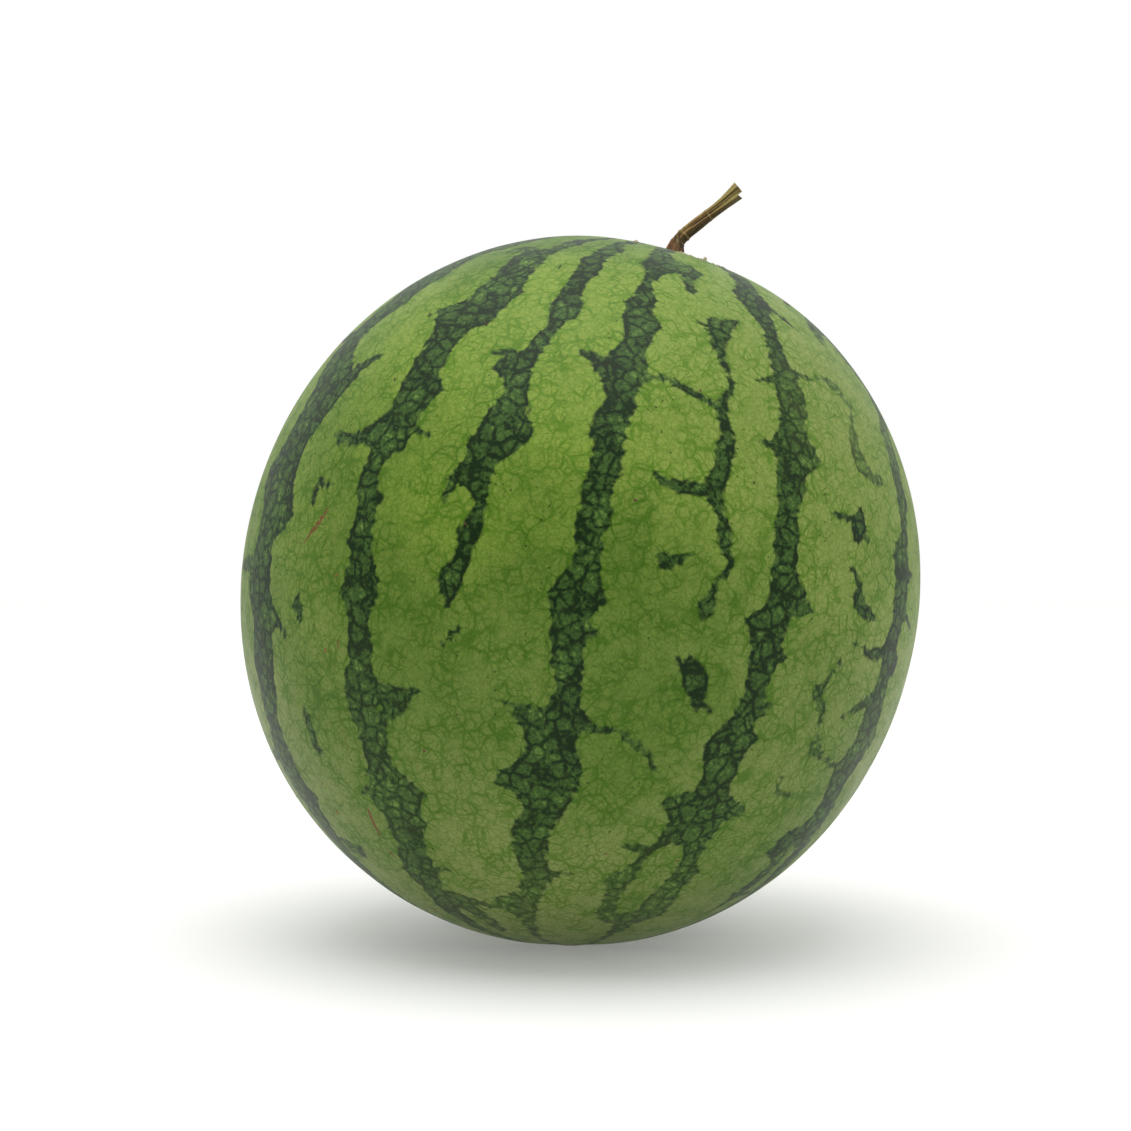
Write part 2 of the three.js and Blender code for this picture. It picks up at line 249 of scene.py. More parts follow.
# The broken stripe between the right stripe and the one on the right limb.
FAINT_STRIPE = [
    [(37.5, -36, 0.8), (35, -34.5, 1.4), (33, -32, 1.8), (31.5, -28, 2.2), (30, -24, 2.4)],
    [(27.5, -38, 0.4), (26, -34, 0.5), (24, -28, 0.4)],
    [(49, -48, 0.25), (48.7, -45, 0.35), (49, -42.5, 1.2), (50.3, -41, 0.8), (52, -38.7, 0.6),
     (54, -39, 0.35), (57, -39.7, 0.35), (58, -40.3, 1.2), (61, -40.2, 1.5), (63.5, -39.8, 1.7),
     (64.5, -38, 1.2), (65.5, -35.5, 1), (65, -32.5, 0.7)],
    [(72.5, -41, 0.9), (74.5, -41.5, 2), (76, -41.5, 2), (77.2, -42, 0.8)],
    [(82.5, -43, 0.35), (83.5, -41, 0.5), (85, -40.2, 0.6), (87, -40, 1.6), (88.5, -38.5, 1.4),
     (90, -34, 0.25)],
    [(100, -42.5, 0.25), (102, -43.7, 0.5), (104, -45, 1.1), (105.5, -44, 0.6), (106.5, -42.5, 0.7),
     (108, -42, 0.3), (110, -41.5, 0.3), (112, -40.8, 0.7), (113.5, -40.5, 1.3), (114.5, -38, 0.7),
     (115, -36, 0.45), (116, -33, 0.3), (116, -31, 0.3)],
    [(119.5, -45.5, 0.25), (122.5, -45, 0.4), (122.6, -41, 0.25)],
    [(98.1, -41.5, 0.5), (98.6, -41.4, 0.5)],
]
FAINT_STRIPE_SPURS = [
    [(76, -40.5, 0.8), (77.2, -38.5, 0.3)], [(74.3, -48, 0.25), (74.3, -43, 0.5)],
]
# Loose flecks between the stripe on the left limb and the left one.
LEFT_FLECKS = [
    [(86, -139.3, 0.4), (83.5, -139.5, 0.5), (82.5, -138.5, 0.7), (83.3, -137.3, 0.4), (83, -135, 0.2)],
    [(100, -140, 0.35), (100.5, -139.8, 0.5), (101, -141, 1), (102, -139.9, 1), (103.5, -140, 0.5)],
    [(117.5, -142, 0.6), (119, -141.8, 0.8), (121, -142, 0.6), (122, -142.3, 0.9), (124, -141, 0.4)],
]
# Pale islands inside the stripes: the polar angle, the longitude and the radius.
PALE_ISLANDS = [(116, -122.7, 0.9), (44.9, -72.1, 0.75)]

# Patches where the ground is a deeper green, or a paler one where the amount is negative: polar angle,
# longitude, radius and amount.
DEEP_PATCHES = [
    (102, -102, 24, 0.65), (112, -75, 22, 0.45), (88, -78, 14, 0.25), (125, -110, 20, 0.1),
    (50, -95, 22, -0.3), (45, -65, 16, -0.3), (60, -35, 15, -0.3), (95, -143, 26, 0.4),
    (30, -134, 15, 0.8), (25, -46, 12, 0.4), (130, -44, 18, 0.35), (62, -97, 8, -0.4),
    (58, -128, 12, 0.15), (95, 60, 26, 0.6), (110, 140, 24, 0.6), (70, 10, 16, 0.3),
]
# Patches where the wax bloom lies thicker, or thinner, in the same numbers. The pale ground is also
# greyer towards the bottom.
BLOOM_PATCHES = [
    (55, -108, 26, -0.4), (85, -110, 22, -0.3), (50, -50, 26, 0.35), (100, -40, 24, 0.3),
    (80, -155, 20, -0.2), (60, 70, 30, 0.3), (80, 150, 26, -0.3),
]
# Patches where the stripes are paler, or darker, in the same numbers.
FADED_PATCHES = [
    (55, -38, 14, 0.6), (104.5, -69, 5, -1.2), (150, -68, 16, 0.4), (118, -125, 16, 0.12),
    (145, -130, 18, 0.2), (112, -38, 12, 0.3), (118, -76, 4, 0.3), (122, -45, 5, 0.4),
    (75.5, -41.5, 4, -0.5), (87.5, -39.5, 4, -0.4), (155, -98, 12, 0.2), (32, -58, 10, -0.4),
    (60, 120, 16, 0.3), (120, 40, 18, 0.3),
]
BLOOM_SHARE = 0.3  # how thick the wax bloom lies where nothing else is said
GREYING_UNDERNEATH = (88.0, 125.0, 0.75)  # polar angles between which the pale ground turns greyer towards the bottom, and by how much

STEM_COLLAR = 8.2  # millimetres from the stem end to the edge of the cork round the root
SCAR_RADIUS = 4.6  # of the corky blossom scar

# Corky scratches, and black pits, in the same three numbers as a vein.
SCRATCHES = [
    [(86.5, -135, 0.1), (88, -136.3, 0.25), (90, -138, 0.28), (92.3, -140, 0.1)],
    [(87.3, -135.2, 0.05), (89.2, -136.6, 0.14), (90.4, -137.4, 0.05)],
    [(106, -130.5, 0.16), (107.5, -130.6, 0.12)], [(116.5, -132.3, 0.0), (124, -132.7, 0.04)],
    [(133, -134, 0.25), (135.5, -134.8, 0.3), (138, -135.2, 0.2)],
    [(141, -136, 0.2), (142.5, -136, 0.16)],
    [(156, -150.5, 0.4), (157, -149.5, 0.4)],
]
DARK_PITS = [
    [(37, -114, 0.14), (37.4, -113.6, 0.16), (38.4, -113.2, 0.12)],
    [(43.1, -104.7, 0.3), (43.5, -104.7, 0.3)],
]

# The growth lines repeat round the back: which stripe grows there, at which longitude its middle
# lies, whether it is turned left to right, and whether it runs the other way up.
BACK_STRIPES = [
    ("front", 8, True, False),
    ("right", 40, True, False),
    ("left", 73, False, True),
    ("front", 105, False, True),
    ("right", 138, False, False),
    ("left", 170, True, False),
]
BACK_VEINS = [
    ("broken", 24, True, False),
    ("faint", 56, False, True),
    ("broken", 89, False, True),
    ("faint", 121, True, False),
    ("broken", 154, False, False),
]
TURNED_OVER = 186.0  # polar angles are taken from this when a stripe runs the other way up


def turned_stripe(rows, middle, longitude, mirror, flip):
    """A main stripe's rows, moved round from its own middle to another longitude."""
    way = -1 if mirror else 1
    moved = []
    for polar, *edges in rows:
        left, right = sorted(longitude + way * (edge - middle) for edge in edges)
        moved.append((TURNED_OVER - polar if flip else polar, left, right))
    return sorted(moved)


def turned_vein(line, middle, longitude, mirror, flip):
    """A vein's points, moved round in the same way."""
    way = -1 if mirror else 1
    return [
        (TURNED_OVER - polar if flip else polar, longitude + way * (side - middle), half)
        for polar, side, half in line
    ]


# What grows along each kind of stripe: main stripes, veins, spurs, and the longitude of its middle.
STRIPE_KINDS = {
    "front": ([FRONT_STRIPE], [], FRONT_SPURS, -90),
    "right": ([RIGHT_STRIPE, RIGHT_STRIPE_LEFT_LEG, RIGHT_STRIPE_RIGHT_LEG], [], RIGHT_SPURS, -58),
    "left": ([LEFT_STRIPE], [], LEFT_SPURS, -125),
    "broken": ([], BROKEN_STRIPE, BROKEN_STRIPE_SPURS, -71),
    "faint": ([], FAINT_STRIPE, FAINT_STRIPE_SPURS, -41),
}

ALL_STRIPES = [LEFT_LIMB_STRIPE, LEFT_STRIPE, SHORT_STRIPE, FRONT_STRIPE, RIGHT_STRIPE,
               RIGHT_STRIPE_LEFT_LEG, RIGHT_STRIPE_RIGHT_LEG, RIGHT_LIMB_STRIPE, RIGHT_LIMB_LEFT_LEG,
               RIGHT_LIMB_RIGHT_LEG]
ALL_VEINS = [*BROKEN_STRIPE, *FAINT_STRIPE, *LEFT_FLECKS]
ALL_SPURS = [*LEFT_LIMB_SPURS, *LEFT_SPURS, *SHORT_SPURS, *FRONT_SPURS, *RIGHT_SPURS, *RIGHT_LIMB_SPURS,
             *BROKEN_STRIPE_SPURS, *FAINT_STRIPE_SPURS]
for kind, *turn in BACK_STRIPES + BACK_VEINS:
    stripes, veins, spurs, middle = STRIPE_KINDS[kind]
    ALL_STRIPES += [turned_stripe(rows, middle, *turn) for rows in stripes]
    ALL_VEINS += [turned_vein(line, middle, *turn) for line in veins]
    ALL_SPURS += [turned_vein(line, middle, *turn) for line in spurs]

# ---------------------------------------------------------------- stem sizes

# The middle line from the stem end of the fruit, as in the solid.
STEM_LINE = [
    (0.9, 0.4, -3.5), (0, 0, 0), (-0.4, -0.1, 4), (-0.1, -0.1, 7.2), (0.8, 0, 9.9),
    (3.3, 0.2, 12.9), (9.1, 0.2, 17.6), (15.8, 0, 22.7), (20.3, -0.3, 26.4), (23.0, -0.5, 28.6),
]
# Radii at even steps from the buried root to the broken end.
STEM_RADII = [5.8, 5.2, 4.3, 3.1, 2.1, 2.1, 2.1, 2.0, 1.95, 2.0, 2.15, 2.5, 2.9]
STEM_STEPS = 150  # rings of points along the stem
STEM_SIDES = 112  # points in each ring
CURVE_STEPS = 24  # between two points of the middle line, before it is evened out
STEM_RIDGES = (5, 0.12)  # how many, and their depth as a share of the radius
STEM_FINE_RIDGES = (13, 0.04)
STEM_TWIST = 50.0  # that the ridges turn from root to end
STEM_FIBRE_DEPTH = 0.18  # how far the fibres stand proud and sink in
# The fibres are this wide on the thin part, whose core between the ridges has about this radius, and
# wider where the stem is thicker.
FIBRE_WIDTH = 0.5
STEM_CORE_RADIUS = 1.8
FIBRE_FINENESS = STEM_CORE_RADIUS / FIBRE_WIDTH
FIBRE_RUN = 0.7  # how many radii long the stem is taken to be, which draws the fibres out along it
# Towards the root they swirl: the width of a strand on the same core, how far they wind from root to
# end, in radians, and how many radii long the stem is taken to be for them.
SWIRL_WIDTH = 0.75
SWIRL_FINENESS = STEM_CORE_RADIUS / SWIRL_WIDTH
SWIRL_TURN = 16.0
SWIRL_RUN = 5.0
STEM_BLOTCHES = 2.6  # width of the patches that the sun has bleached
STRAND_HEIGHT = 0.35  # relief of the fine strands
# Knots where the vine bent and where a tendril fell off: the share of the length, height and width.
STEM_KNOTS = [(0.4, 0.22, 0.012), (0.32, 0.16, 0.012), (0.66, 0.12, 0.008), (0.18, 0.25, 0.02)]
# the side of the stem that gets painted shade faces this way, mostly down
PAINTED_SHADE_SIDE = (0.5, -0.15, -0.85)  # the way that the dark side of the stem faces
STEM_RINGS = (0.41, 0.665)  # shares of the length
RING_WAVER = 0.05  # how far a ring's edge strays with the fibres, as a share of the length
RING_EDGE = (0.036, 0.024)  # how far from a ring's middle it starts to show, and shows in full
# Shares of the length between which one colour gives way to the next, and, towards the root, the
# straight fibres to the swirling ones.
STEM_MIDDLE_FADE = (0.25, 0.5)
STEM_TIP_FADE = (0.6, 0.95)
SWIRL_FADE = (0.46, 0.32)
# The broken end is split: how far inside the end and off the middle line the split starts, the angle
# between its flanks, and how far it is turned towards the inner side of the stem's bend.
END_SPLIT = (1.9, 0.95)
SPLIT_OPENING = 75.0
SPLIT_TURN = 37.0
SPLIT_REACH = 10.0  # of the wedge that cuts it
SPLIT_ACROSS = 20.0  # the wedge's length across the stem
SHARP_EDGE = 60.0  # the angle past which an edge of the stem isn't shaded smooth

# ---------------------------------------------------------------- colours

PALE_SKIN = 0x788F37
GREYED_SKIN = 0x7C894D  # the greyer pale skin, under a thick wax bloom and towards the bottom
DEEP_SKIN = 0x5B742B
VEIN_STAIN = 0xBADA98  # the share of the ground colour that a vein lets through
STRIPE_LINE = 0x13270C
STRIPE_CELL = 0x3A5624
BRIGHT_CELL = 0x6C883E
PINPRICK = 0x2A3B10
RUST = 0x8A5A38
SCRATCH_RED = 0x6E3A2A
CORK = 0x8C7A52
CORK_FURROW = 0x4B3A22
STEM_ROOT = 0x7A5430
STEM_MIDDLE = 0x8A6B36
STEM_TIP = 0xA29252
STEM_FURROW = 0x42301A
STEM_LIT = 0xAC9C5C
# painted shade for the stem's lower side
STEM_PAINTED_SHADE = 0x4A3A1C
SCAB_PALE = 0xCDC3A8
RED_SPECK = 0x5C322C
FLOOR_ACRYLIC = 0xD9D9D7


def linear(colour):
    """An sRGB hex colour as the linear values that a node takes."""
    channels = [(colour >> shift & 255) / 255 for shift in (16, 8, 0)]
    return (*((c / 12.92 if c <= 0.04045 else ((c + 0.055) / 1.055) ** 2.4) for c in channels), 1.0)


# ---------------------------------------------------------------- node trees

# Settings that many nodes share. A Map Range with the first goes smoothly from 0, where its value meets
# its second input, to 1, where it meets its third, unless a fourth and a fifth say otherwise. A Mix
# with the second lays colour 7 over colour 6.
SMOOTHLY = {"interpolation_type": "SMOOTHSTEP"}
IN_COLOUR = {"out": 2, "data_type": "RGBA"}

NOISE_RANGE = (0.3, 0.7)  # within which a noise mostly stays
NOISE_SWING = 0.25  # the most that it usually swings either way


def put(tree, kind, inputs=(), out=0, **settings):
    """Adds a node with its settings, sets or links its inputs, given in order or by name, and returns one
    of its outputs."""
    made = tree.nodes.new(kind)
    for name, value in settings.items():
        setattr(made, name, value)
    for key, value in inputs.items() if isinstance(inputs, dict) else enumerate(inputs):
        if isinstance(value, bpy.types.NodeSocket):
            tree.links.new(value, made.inputs[key])
        else:
            made.inputs[key].default_value = value
    return made.outputs[out] if made.outputs else made


def start_tree(name, sizes):
    """A Geometry Nodes tree with a named input for each size, and its inputs by name."""
    tree = bpy.data.node_groups.new(name, "GeometryNodeTree")
    tree.interface.new_socket("Geometry", in_out="INPUT", socket_type="NodeSocketGeometry")
    tree.interface.new_socket("Geometry", in_out="OUTPUT", socket_type="NodeSocketGeometry")
    for label, value in sizes.items():
        kind = {int: "Int", float: "Float"}.get(type(value), "Vector")
        tree.interface.new_socket(label, in_out="INPUT", socket_type="NodeSocket" + kind)
    entry = tree.nodes.new("NodeGroupInput")
    return tree, {socket.name: socket for socket in entry.outputs if socket.name}


def finish_tree(tree, geometry, material):
    """Ends a tree with its instances made real and its material set."""
    realized = put(tree, "GeometryNodeRealizeInstances", {"Geometry": geometry})
    dressed = put(tree, "GeometryNodeSetMaterial", {"Geometry": realized, "Material": material})
    put(tree, "NodeGroupOutput", {"Geometry": dressed})


def grown(name, tree, sizes, start=None):
    """The plain mesh object that a tree makes from its start mesh with these sizes."""
    holder = bpy.data.objects.new(name + "_start", start or bpy.data.meshes.new(name + "_start"))
    bpy.context.scene.collection.objects.link(holder)
    modifier = holder.modifiers.new("growth", "NODES")
    modifier.node_group = tree
    for item in tree.interface.items_tree:
        if item.in_out == "INPUT" and item.name in sizes:
            modifier[item.identifier] = sizes[item.name]
    evaluated = holder.evaluated_get(bpy.context.evaluated_depsgraph_get())
    mesh = bpy.data.meshes.new_from_object(evaluated)
    mesh.name = name
    holder.modifiers.clear()
    bpy.data.objects.remove(holder)
    piece = bpy.data.objects.new(name, mesh)
    bpy.context.scene.collection.objects.link(piece)
    return piece


def add_field(mesh, name, values):
    """Stores a number at each of a mesh's points, under a name that trees and materials read."""
    mesh.attributes.new(name, "FLOAT", "POINT").data.foreach_set("value", values.astype(np.float32))


# ---------------------------------------------------------------- growth coordinates

LEAN_ROUNDS = 8  # in which the polar angle and the lean that depends on it settle


def growth_direction(polar, longitude):
    """The direction from the fruit's middle to a place in growth coordinates."""
    lean = STEM_LEAN + (BLOSSOM_LEAN - STEM_LEAN) * polar / 180
    polar, longitude = math.radians(polar), math.radians(longitude)
    upright = Vector((
        math.sin(polar) * math.cos(longitude), math.sin(polar) * math.sin(longitude), math.cos(polar),
    ))
    tilt = Matrix.Rotation(math.radians(-BACK_TILT), 3, "X")
    return tilt @ Matrix.Rotation(math.radians(lean), 3, "Y") @ upright


STEM_END = growth_direction(0, 0)
BLOSSOM_END = growth_direction(180, 0)
MIDDLE = Vector((0, 0, MIDDLE_HEIGHT))


def growth_coordinates(points):
    """The polar angle and longitude, in degrees, of points given from the fruit's middle."""
    tilt = np.array(Matrix.Rotation(math.radians(BACK_TILT), 3, "X"))
    level = (points / np.linalg.norm(points, axis=1, keepdims=True)) @ tilt.T
    polar = np.full(len(points), math.pi / 2)
    for _ in range(LEAN_ROUNDS):
        lean = np.radians(STEM_LEAN + (BLOSSOM_LEAN - STEM_LEAN) * polar / math.pi)
        across = level[:, 0] * np.cos(lean) - level[:, 2] * np.sin(lean)
        upward = level[:, 0] * np.sin(lean) + level[:, 2] * np.cos(lean)
        polar = np.arccos(np.clip(upward, -1, 1))
    return np.degrees(polar), np.degrees(np.arctan2(level[:, 1], across))


def half_turn(angle):
    """The same angle as a turn of half a circle at most, either way."""
    return (angle + 180) % 360 - 180


def laid_flat(polar, longitude, start, end):
    """A stretch's start taken as the middle of a flat map in millimetres: where each place lies on it,
    and how far the stretch runs."""
    narrowing = np.sin(np.radians(polar)) * MM_PER_DEGREE
    x, y = half_turn(longitude - start[1]) * narrowing, (polar - start[0]) * MM_PER_DEGREE
    return x, y, (end[1] - start[1]) * narrowing, (end[0] - start[0]) * MM_PER_DEGREE


def stretch_distance(polar, longitude, start, end):
    """Millimetres over the rind from each place to a straight stretch."""
    x, y, dx, dy = laid_flat(polar, longitude, start, end)
    along = np.clip((x * dx + y * dy) / np.maximum(dx * dx + dy * dy, 1e-9), 0, 1)
    return np.hypot(x - along * dx, y - along * dy)


FIELD_REACH = 9.0  # millimetres past which a stripe's edge no longer matters
POLAR_MARGIN = 5  # the same past a stripe's two ends, in degrees
NARROWEST = 0.02  # share of the equator's girth that a place near a pole is taken to have
NEAR_STEM, NEAR_BLOSSOM = 40, 160  # a stripe that comes nearer a pole than this runs right up to it
STEM_POLE, BLOSSOM_POLE = 1.0, 179.0
SCALLOP = 0.1  # how deep an outline's stretches are bowed, as a share of their length
LONGEST_SCALLOP = 8.0  # degrees, past which a stretch stays straight


def scalloped(outline):
    """A stripe's outline with each straight stretch bowed inwards, as the pale cells beside it bulge."""
    bowed = []
    for start, end in zip(outline, outline[1:] + outline[:1]):
        narrowing = math.sin(math.radians((start[0] + end[0]) / 2))
        along = (end[0] - start[0], (end[1] - start[1]) * narrowing)
        bowed.append(start)
        if math.hypot(*along) < LONGEST_SCALLOP:
            polar = (start[0] + end[0]) / 2 - SCALLOP * along[1]
            longitude = (start[1] + end[1]) / 2 + SCALLOP * along[0] / narrowing
            bowed.append((polar, longitude))
    return bowed


def drawn_out(rows):
    """A stripe's rows in order, with one more at each pole that it nearly reaches."""
    rows = sorted(rows)
    if rows[0][0] < NEAR_STEM:
        rows = [(STEM_POLE, *rows[0][1:]), *rows]
    if rows[-1][0] > NEAR_BLOSSOM:
        rows = [*rows, (BLOSSOM_POLE, *rows[-1][1:])]
    return rows


def stripe_depths(polar, longitude):
    """How deep each place lies inside the nearest main stripe, negative outside."""
    deepest = np.full(len(polar), -FIELD_REACH)
    girth = np.maximum(np.sin(np.radians(polar)), NARROWEST)
    slack = np.degrees(FIELD_REACH / EQUATOR_RADIUS / girth)
    for rows in ALL_STRIPES:
        angle, left, right = np.array(drawn_out(rows), float).T
        centre = (left[0] + right[-1]) / 2
        near = centre + half_turn(longitude - centre)
        close = (near > left.min() - slack) & (near < right.max() + slack)
        close &= (polar > angle[0] - POLAR_MARGIN) & (polar < angle[-1] + POLAR_MARGIN)
        height, side = polar[close], near[close]
        inside = (side > np.interp(height, angle, left)) & (side < np.interp(height, angle, right))
        inside &= (height > angle[0]) & (height < angle[-1])
        outline = scalloped([*zip(angle, left), *reversed([*zip(angle, right)])])
        nearest = np.full(len(height), FIELD_REACH)
        for start, end in zip(outline, outline[1:] + outline[:1]):
            nearest = np.minimum(nearest, stretch_distance(height, side, start, end))
        deepest[close] = np.maximum(deepest[close], np.where(inside, nearest, -nearest))
    for *spot, radius in PALE_ISLANDS:
        away = stretch_distance(polar, longitude, spot, spot)
        deepest = np.minimum(deepest, away - radius * MM_PER_DEGREE)
    return deepest


NO_LINE = -6.0
LINE_MARGIN = 2.4  # millimetres beside a line where its offset is kept


def line_fields(polar, longitude, lines):
    """For thin lines: the signed offset to the nearest one, and half its width there, which falls away
    past its ends. Both run straight through the skin's cells, so a line finer than a cell is drawn
    whole."""
    best = np.full(len(polar), NO_LINE)
    offset = np.full(len(polar), LINE_MARGIN * 2)
    reach = np.full(len(polar), NO_LINE)
    for start, end in (stretch for line in lines for stretch in zip(line, line[1:])):
        x, y, dx, dy = laid_flat(polar, longitude, start, end)
        length = np.maximum(np.hypot(dx, dy), 1e-6)
        along = (x * dx + y * dy) / length
        beside = (x * dy - y * dx) / length
        past = np.maximum(np.maximum(-along, along - length), 0)
        half = start[2] + (end[2] - start[2]) * np.clip(along / length, 0, 1)
        half = half * MM_PER_DEGREE - past
        inside = half - np.abs(beside)
        win = (inside > best) & (inside > -LINE_MARGIN)
        best[win], offset[win], reach[win] = inside[win], beside[win], half[win]
    return offset, reach


def soft_patches(polar, longitude, patches):
    """The sum of soft round patches at each place."""
    total = np.zeros(len(polar))
    for *spot, radius, amount in patches:
        away = stretch_distance(polar, longitude, spot, spot)
        total += amount * np.exp(-((away / (radius * MM_PER_DEGREE)) ** 2))
    return total


def wax_bloom(polar, longitude):
    """How grey the pale ground turns, from 0 to 1: where the wax bloom lies thicker, and towards the
    bottom.
    """
    start, end, amount = GREYING_UNDERNEATH
    # greyer towards the bottom
    underneath = amount * np.clip((polar - start) / (end - start), 0, 1)
    return np.clip(BLOOM_SHARE + underneath + soft_patches(polar, longitude, BLOOM_PATCHES), 0, 1)


def cork_depth(polar):
    """How deep each place lies inside the cork round the stem's root or on the blossom scar."""
    return np.maximum(STEM_COLLAR - polar * MM_PER_DEGREE, SCAR_RADIUS - (180 - polar) * MM_PER_DEGREE)


# ---------------------------------------------------------------- fruit

SKIN_SIZES = {
    "Cells": SKIN_CELLS + 1,
    "Equator radius": EQUATOR_RADIUS,
    "Half length": HALF_LENGTH,
    "Fullness": FULLNESS,
    "Middle height": MIDDLE_HEIGHT,
    "Stem hollow depth": STEM_HOLLOW[0],
    "Stem hollow spread": STEM_HOLLOW[1],
    "Blossom dimple depth": BLOSSOM_DIMPLE[0],
    "Blossom dimple spread": BLOSSOM_DIMPLE[1],
    "Blossom scar depth": BLOSSOM_SCAR[0],
    "Blossom scar spread": BLOSSOM_SCAR[1],
    "Unevenness": UNEVENNESS * 2,
    "Unevenness span": UNEVENNESS_SPAN,
}
FAR = 1e3  # millimetres, past anything here


def body_radius(tree, size, direction, half_axes):
    """From the fruit's middle to its rind, before any dent: an ellipsoid with full shoulders."""
    level = put(
        tree, "ShaderNodeVectorRotate", {"Vector": direction, "Angle": -math.radians(LONG_AXIS_LEAN)},
        rotation_type="Y_AXIS",
    )
    share = put(tree, "ShaderNodeVectorMath", (level, half_axes), operation="DIVIDE")
    share = put(tree, "ShaderNodeVectorMath", (share,), out="Value", operation="LENGTH")
    ellipsoid = put(tree, "ShaderNodeMath", (1.0, share), operation="DIVIDE")
    flat = put(tree, "ShaderNodeVectorMath", (level, (1, 1, 0)), operation="MULTIPLY")
    across = put(tree, "ShaderNodeVectorMath", (flat,), out="Value", operation="LENGTH")
    upward = put(tree, "ShaderNodeSeparateXYZ", (level,), out="Z")
    tilt = put(tree, "ShaderNodeMath", (across, upward), operation="ARCTAN2")
    fourfold = put(tree, "ShaderNodeMath", (tilt, 4.0), operation="MULTIPLY")
    wave = put(tree, "ShaderNodeMath", (fourfold,), operation="COSINE")
    lift = put(tree, "ShaderNodeMath", (wave, size["Fullness"]), operation="MULTIPLY")
    shoulders = put(tree, "ShaderNodeMath", (1.0, lift), operation="SUBTRACT")
    return put(tree, "ShaderNodeMath", (ellipsoid, shoulders), operation="MULTIPLY")


def dented(tree, size, direction, radius, name, end):
    """The radius less a bell-shaped dent round one end."""
    facing = put(tree, "ShaderNodeVectorMath", (direction, end), out="Value", operation="DOT_PRODUCT")
    away = put(tree, "ShaderNodeMath", (facing,), operation="ARCCOSINE")
    away = put(tree, "ShaderNodeMath", (away,), operation="DEGREES")
    spread = put(tree, "ShaderNodeMath", (away, size[name + " spread"]), operation="DIVIDE")
    squared = put(tree, "ShaderNodeMath", (spread, 2.0), operation="POWER")
    bell = put(tree, "ShaderNodeMath", (squared, -1.0), operation="MULTIPLY")
    bell = put(tree, "ShaderNodeMath", (bell,), operation="EXPONENT")
    dent = put(tree, "ShaderNodeMath", (bell, size[name + " depth"]), operation="MULTIPLY")
    return put(tree, "ShaderNodeMath", (radius, dent), operation="SUBTRACT")


def swollen(tree, size, spot, radius):
    """The radius with the slow swellings and hollows of a grown skin."""
    scale = put(tree, "ShaderNodeMath", (1.0, size["Unevenness span"]), operation="DIVIDE")
    swell = put(tree, "ShaderNodeTexNoise", {"Vector": spot, "Scale": scale, "Detail": 2.0})
    swell = put(tree, "ShaderNodeMath", (swell, 0.5), operation="SUBTRACT")
    swell = put(tree, "ShaderNodeMath", (swell, size["Unevenness"]), operation="MULTIPLY")
    return put(tree, "ShaderNodeMath", (radius, swell), operation="ADD")


def skin_tree(material):
    """A cube with evenly angled cells, blown up into the fruit and pressed flat where it stands."""
    tree, size = start_tree("melon_skin", SKIN_SIZES)
    cube = put(
        tree, "GeometryNodeMeshCube",
        {"Size": (2, 2, 2), "Vertices X": size["Cells"], "Vertices Y": size["Cells"],
         "Vertices Z": size["Cells"]},
    )
    place = put(tree, "GeometryNodeInputPosition")
    angle = put(tree, "ShaderNodeVectorMath", (place, (math.pi / 4,) * 3), operation="MULTIPLY")
    even = put(tree, "ShaderNodeVectorMath", (angle,), operation="TANGENT")
    direction = put(tree, "ShaderNodeVectorMath", (even,), operation="NORMALIZE")
    across, along = size["Equator radius"], size["Half length"]
    half_axes = put(tree, "ShaderNodeCombineXYZ", (across, across, along))
    radius = body_radius(tree, size, direction, half_axes)
    for name, end in (
        ("Stem hollow", STEM_END), ("Blossom dimple", BLOSSOM_END), ("Blossom scar", BLOSSOM_END),
    ):
        radius = dented(tree, size, direction, radius, name, end)
    spot = put(tree, "ShaderNodeVectorMath", (direction, half_axes), operation="MULTIPLY")
    radius = swollen(tree, size, spot, radius)

    rind = put(tree, "ShaderNodeVectorMath", {0: direction, "Scale": radius}, operation="SCALE")
    middle = put(tree, "ShaderNodeCombineXYZ", {2: size["Middle height"]})
    raised = put(tree, "ShaderNodeVectorMath", (rind, middle), operation="ADD")
    standing = put(tree, "ShaderNodeVectorMath", (raised, (-FAR, -FAR, 0)), operation="MAXIMUM")
    metres = put(tree, "ShaderNodeVectorMath", {0: standing, "Scale": MM}, operation="SCALE")
    shaped = put(tree, "GeometryNodeSetPosition", {"Geometry": cube, "Position": metres})
    smooth = put(tree, "GeometryNodeSetShadeSmooth", {"Geometry": shaped})
    finish_tree(tree, smooth, material)
    return tree


def make_skin():
    """The skin piece, with the fields that its material reads at each point."""
    skin = grown("skin", skin_tree(rind_material()), SKIN_SIZES)
    points = np.empty(len(skin.data.vertices) * 3, np.float32)
    skin.data.vertices.foreach_get("co", points)
    points = points.reshape(-1, 3).astype(float) / MM - np.array(MIDDLE)
    polar, longitude = growth_coordinates(points)
    fields = {
        "stripe_depth": stripe_depths(polar, longitude),
        "deep_green": soft_patches(polar, longitude, DEEP_PATCHES),
        "faded": soft_patches(polar, longitude, FADED_PATCHES),
        "wax_bloom": wax_bloom(polar, longitude),
        "cork_depth": cork_depth(polar),
    }
    lines_of = {"vein": ALL_VEINS, "spur": ALL_SPURS, "scratch": SCRATCHES, "pit": DARK_PITS}
    for name, lines in lines_of.items():
        fields[name + "_offset"], fields[name + "_reach"] = line_fields(polar, longitude, lines)
    for name, values in fields.items():
        add_field(skin.data, name, values)
    return skin


# ---------------------------------------------------------------- rind material

# Widths of the rind's patterns, in millimetres.
WIDE_CELL = 5.4  # of the net of veins
SMALL_CELL = 2.9  # of the finer net between them
NET_SWAYS = ((8.0, 4.2), (2.4, 1.1))  # how broadly both nets wander, and how far
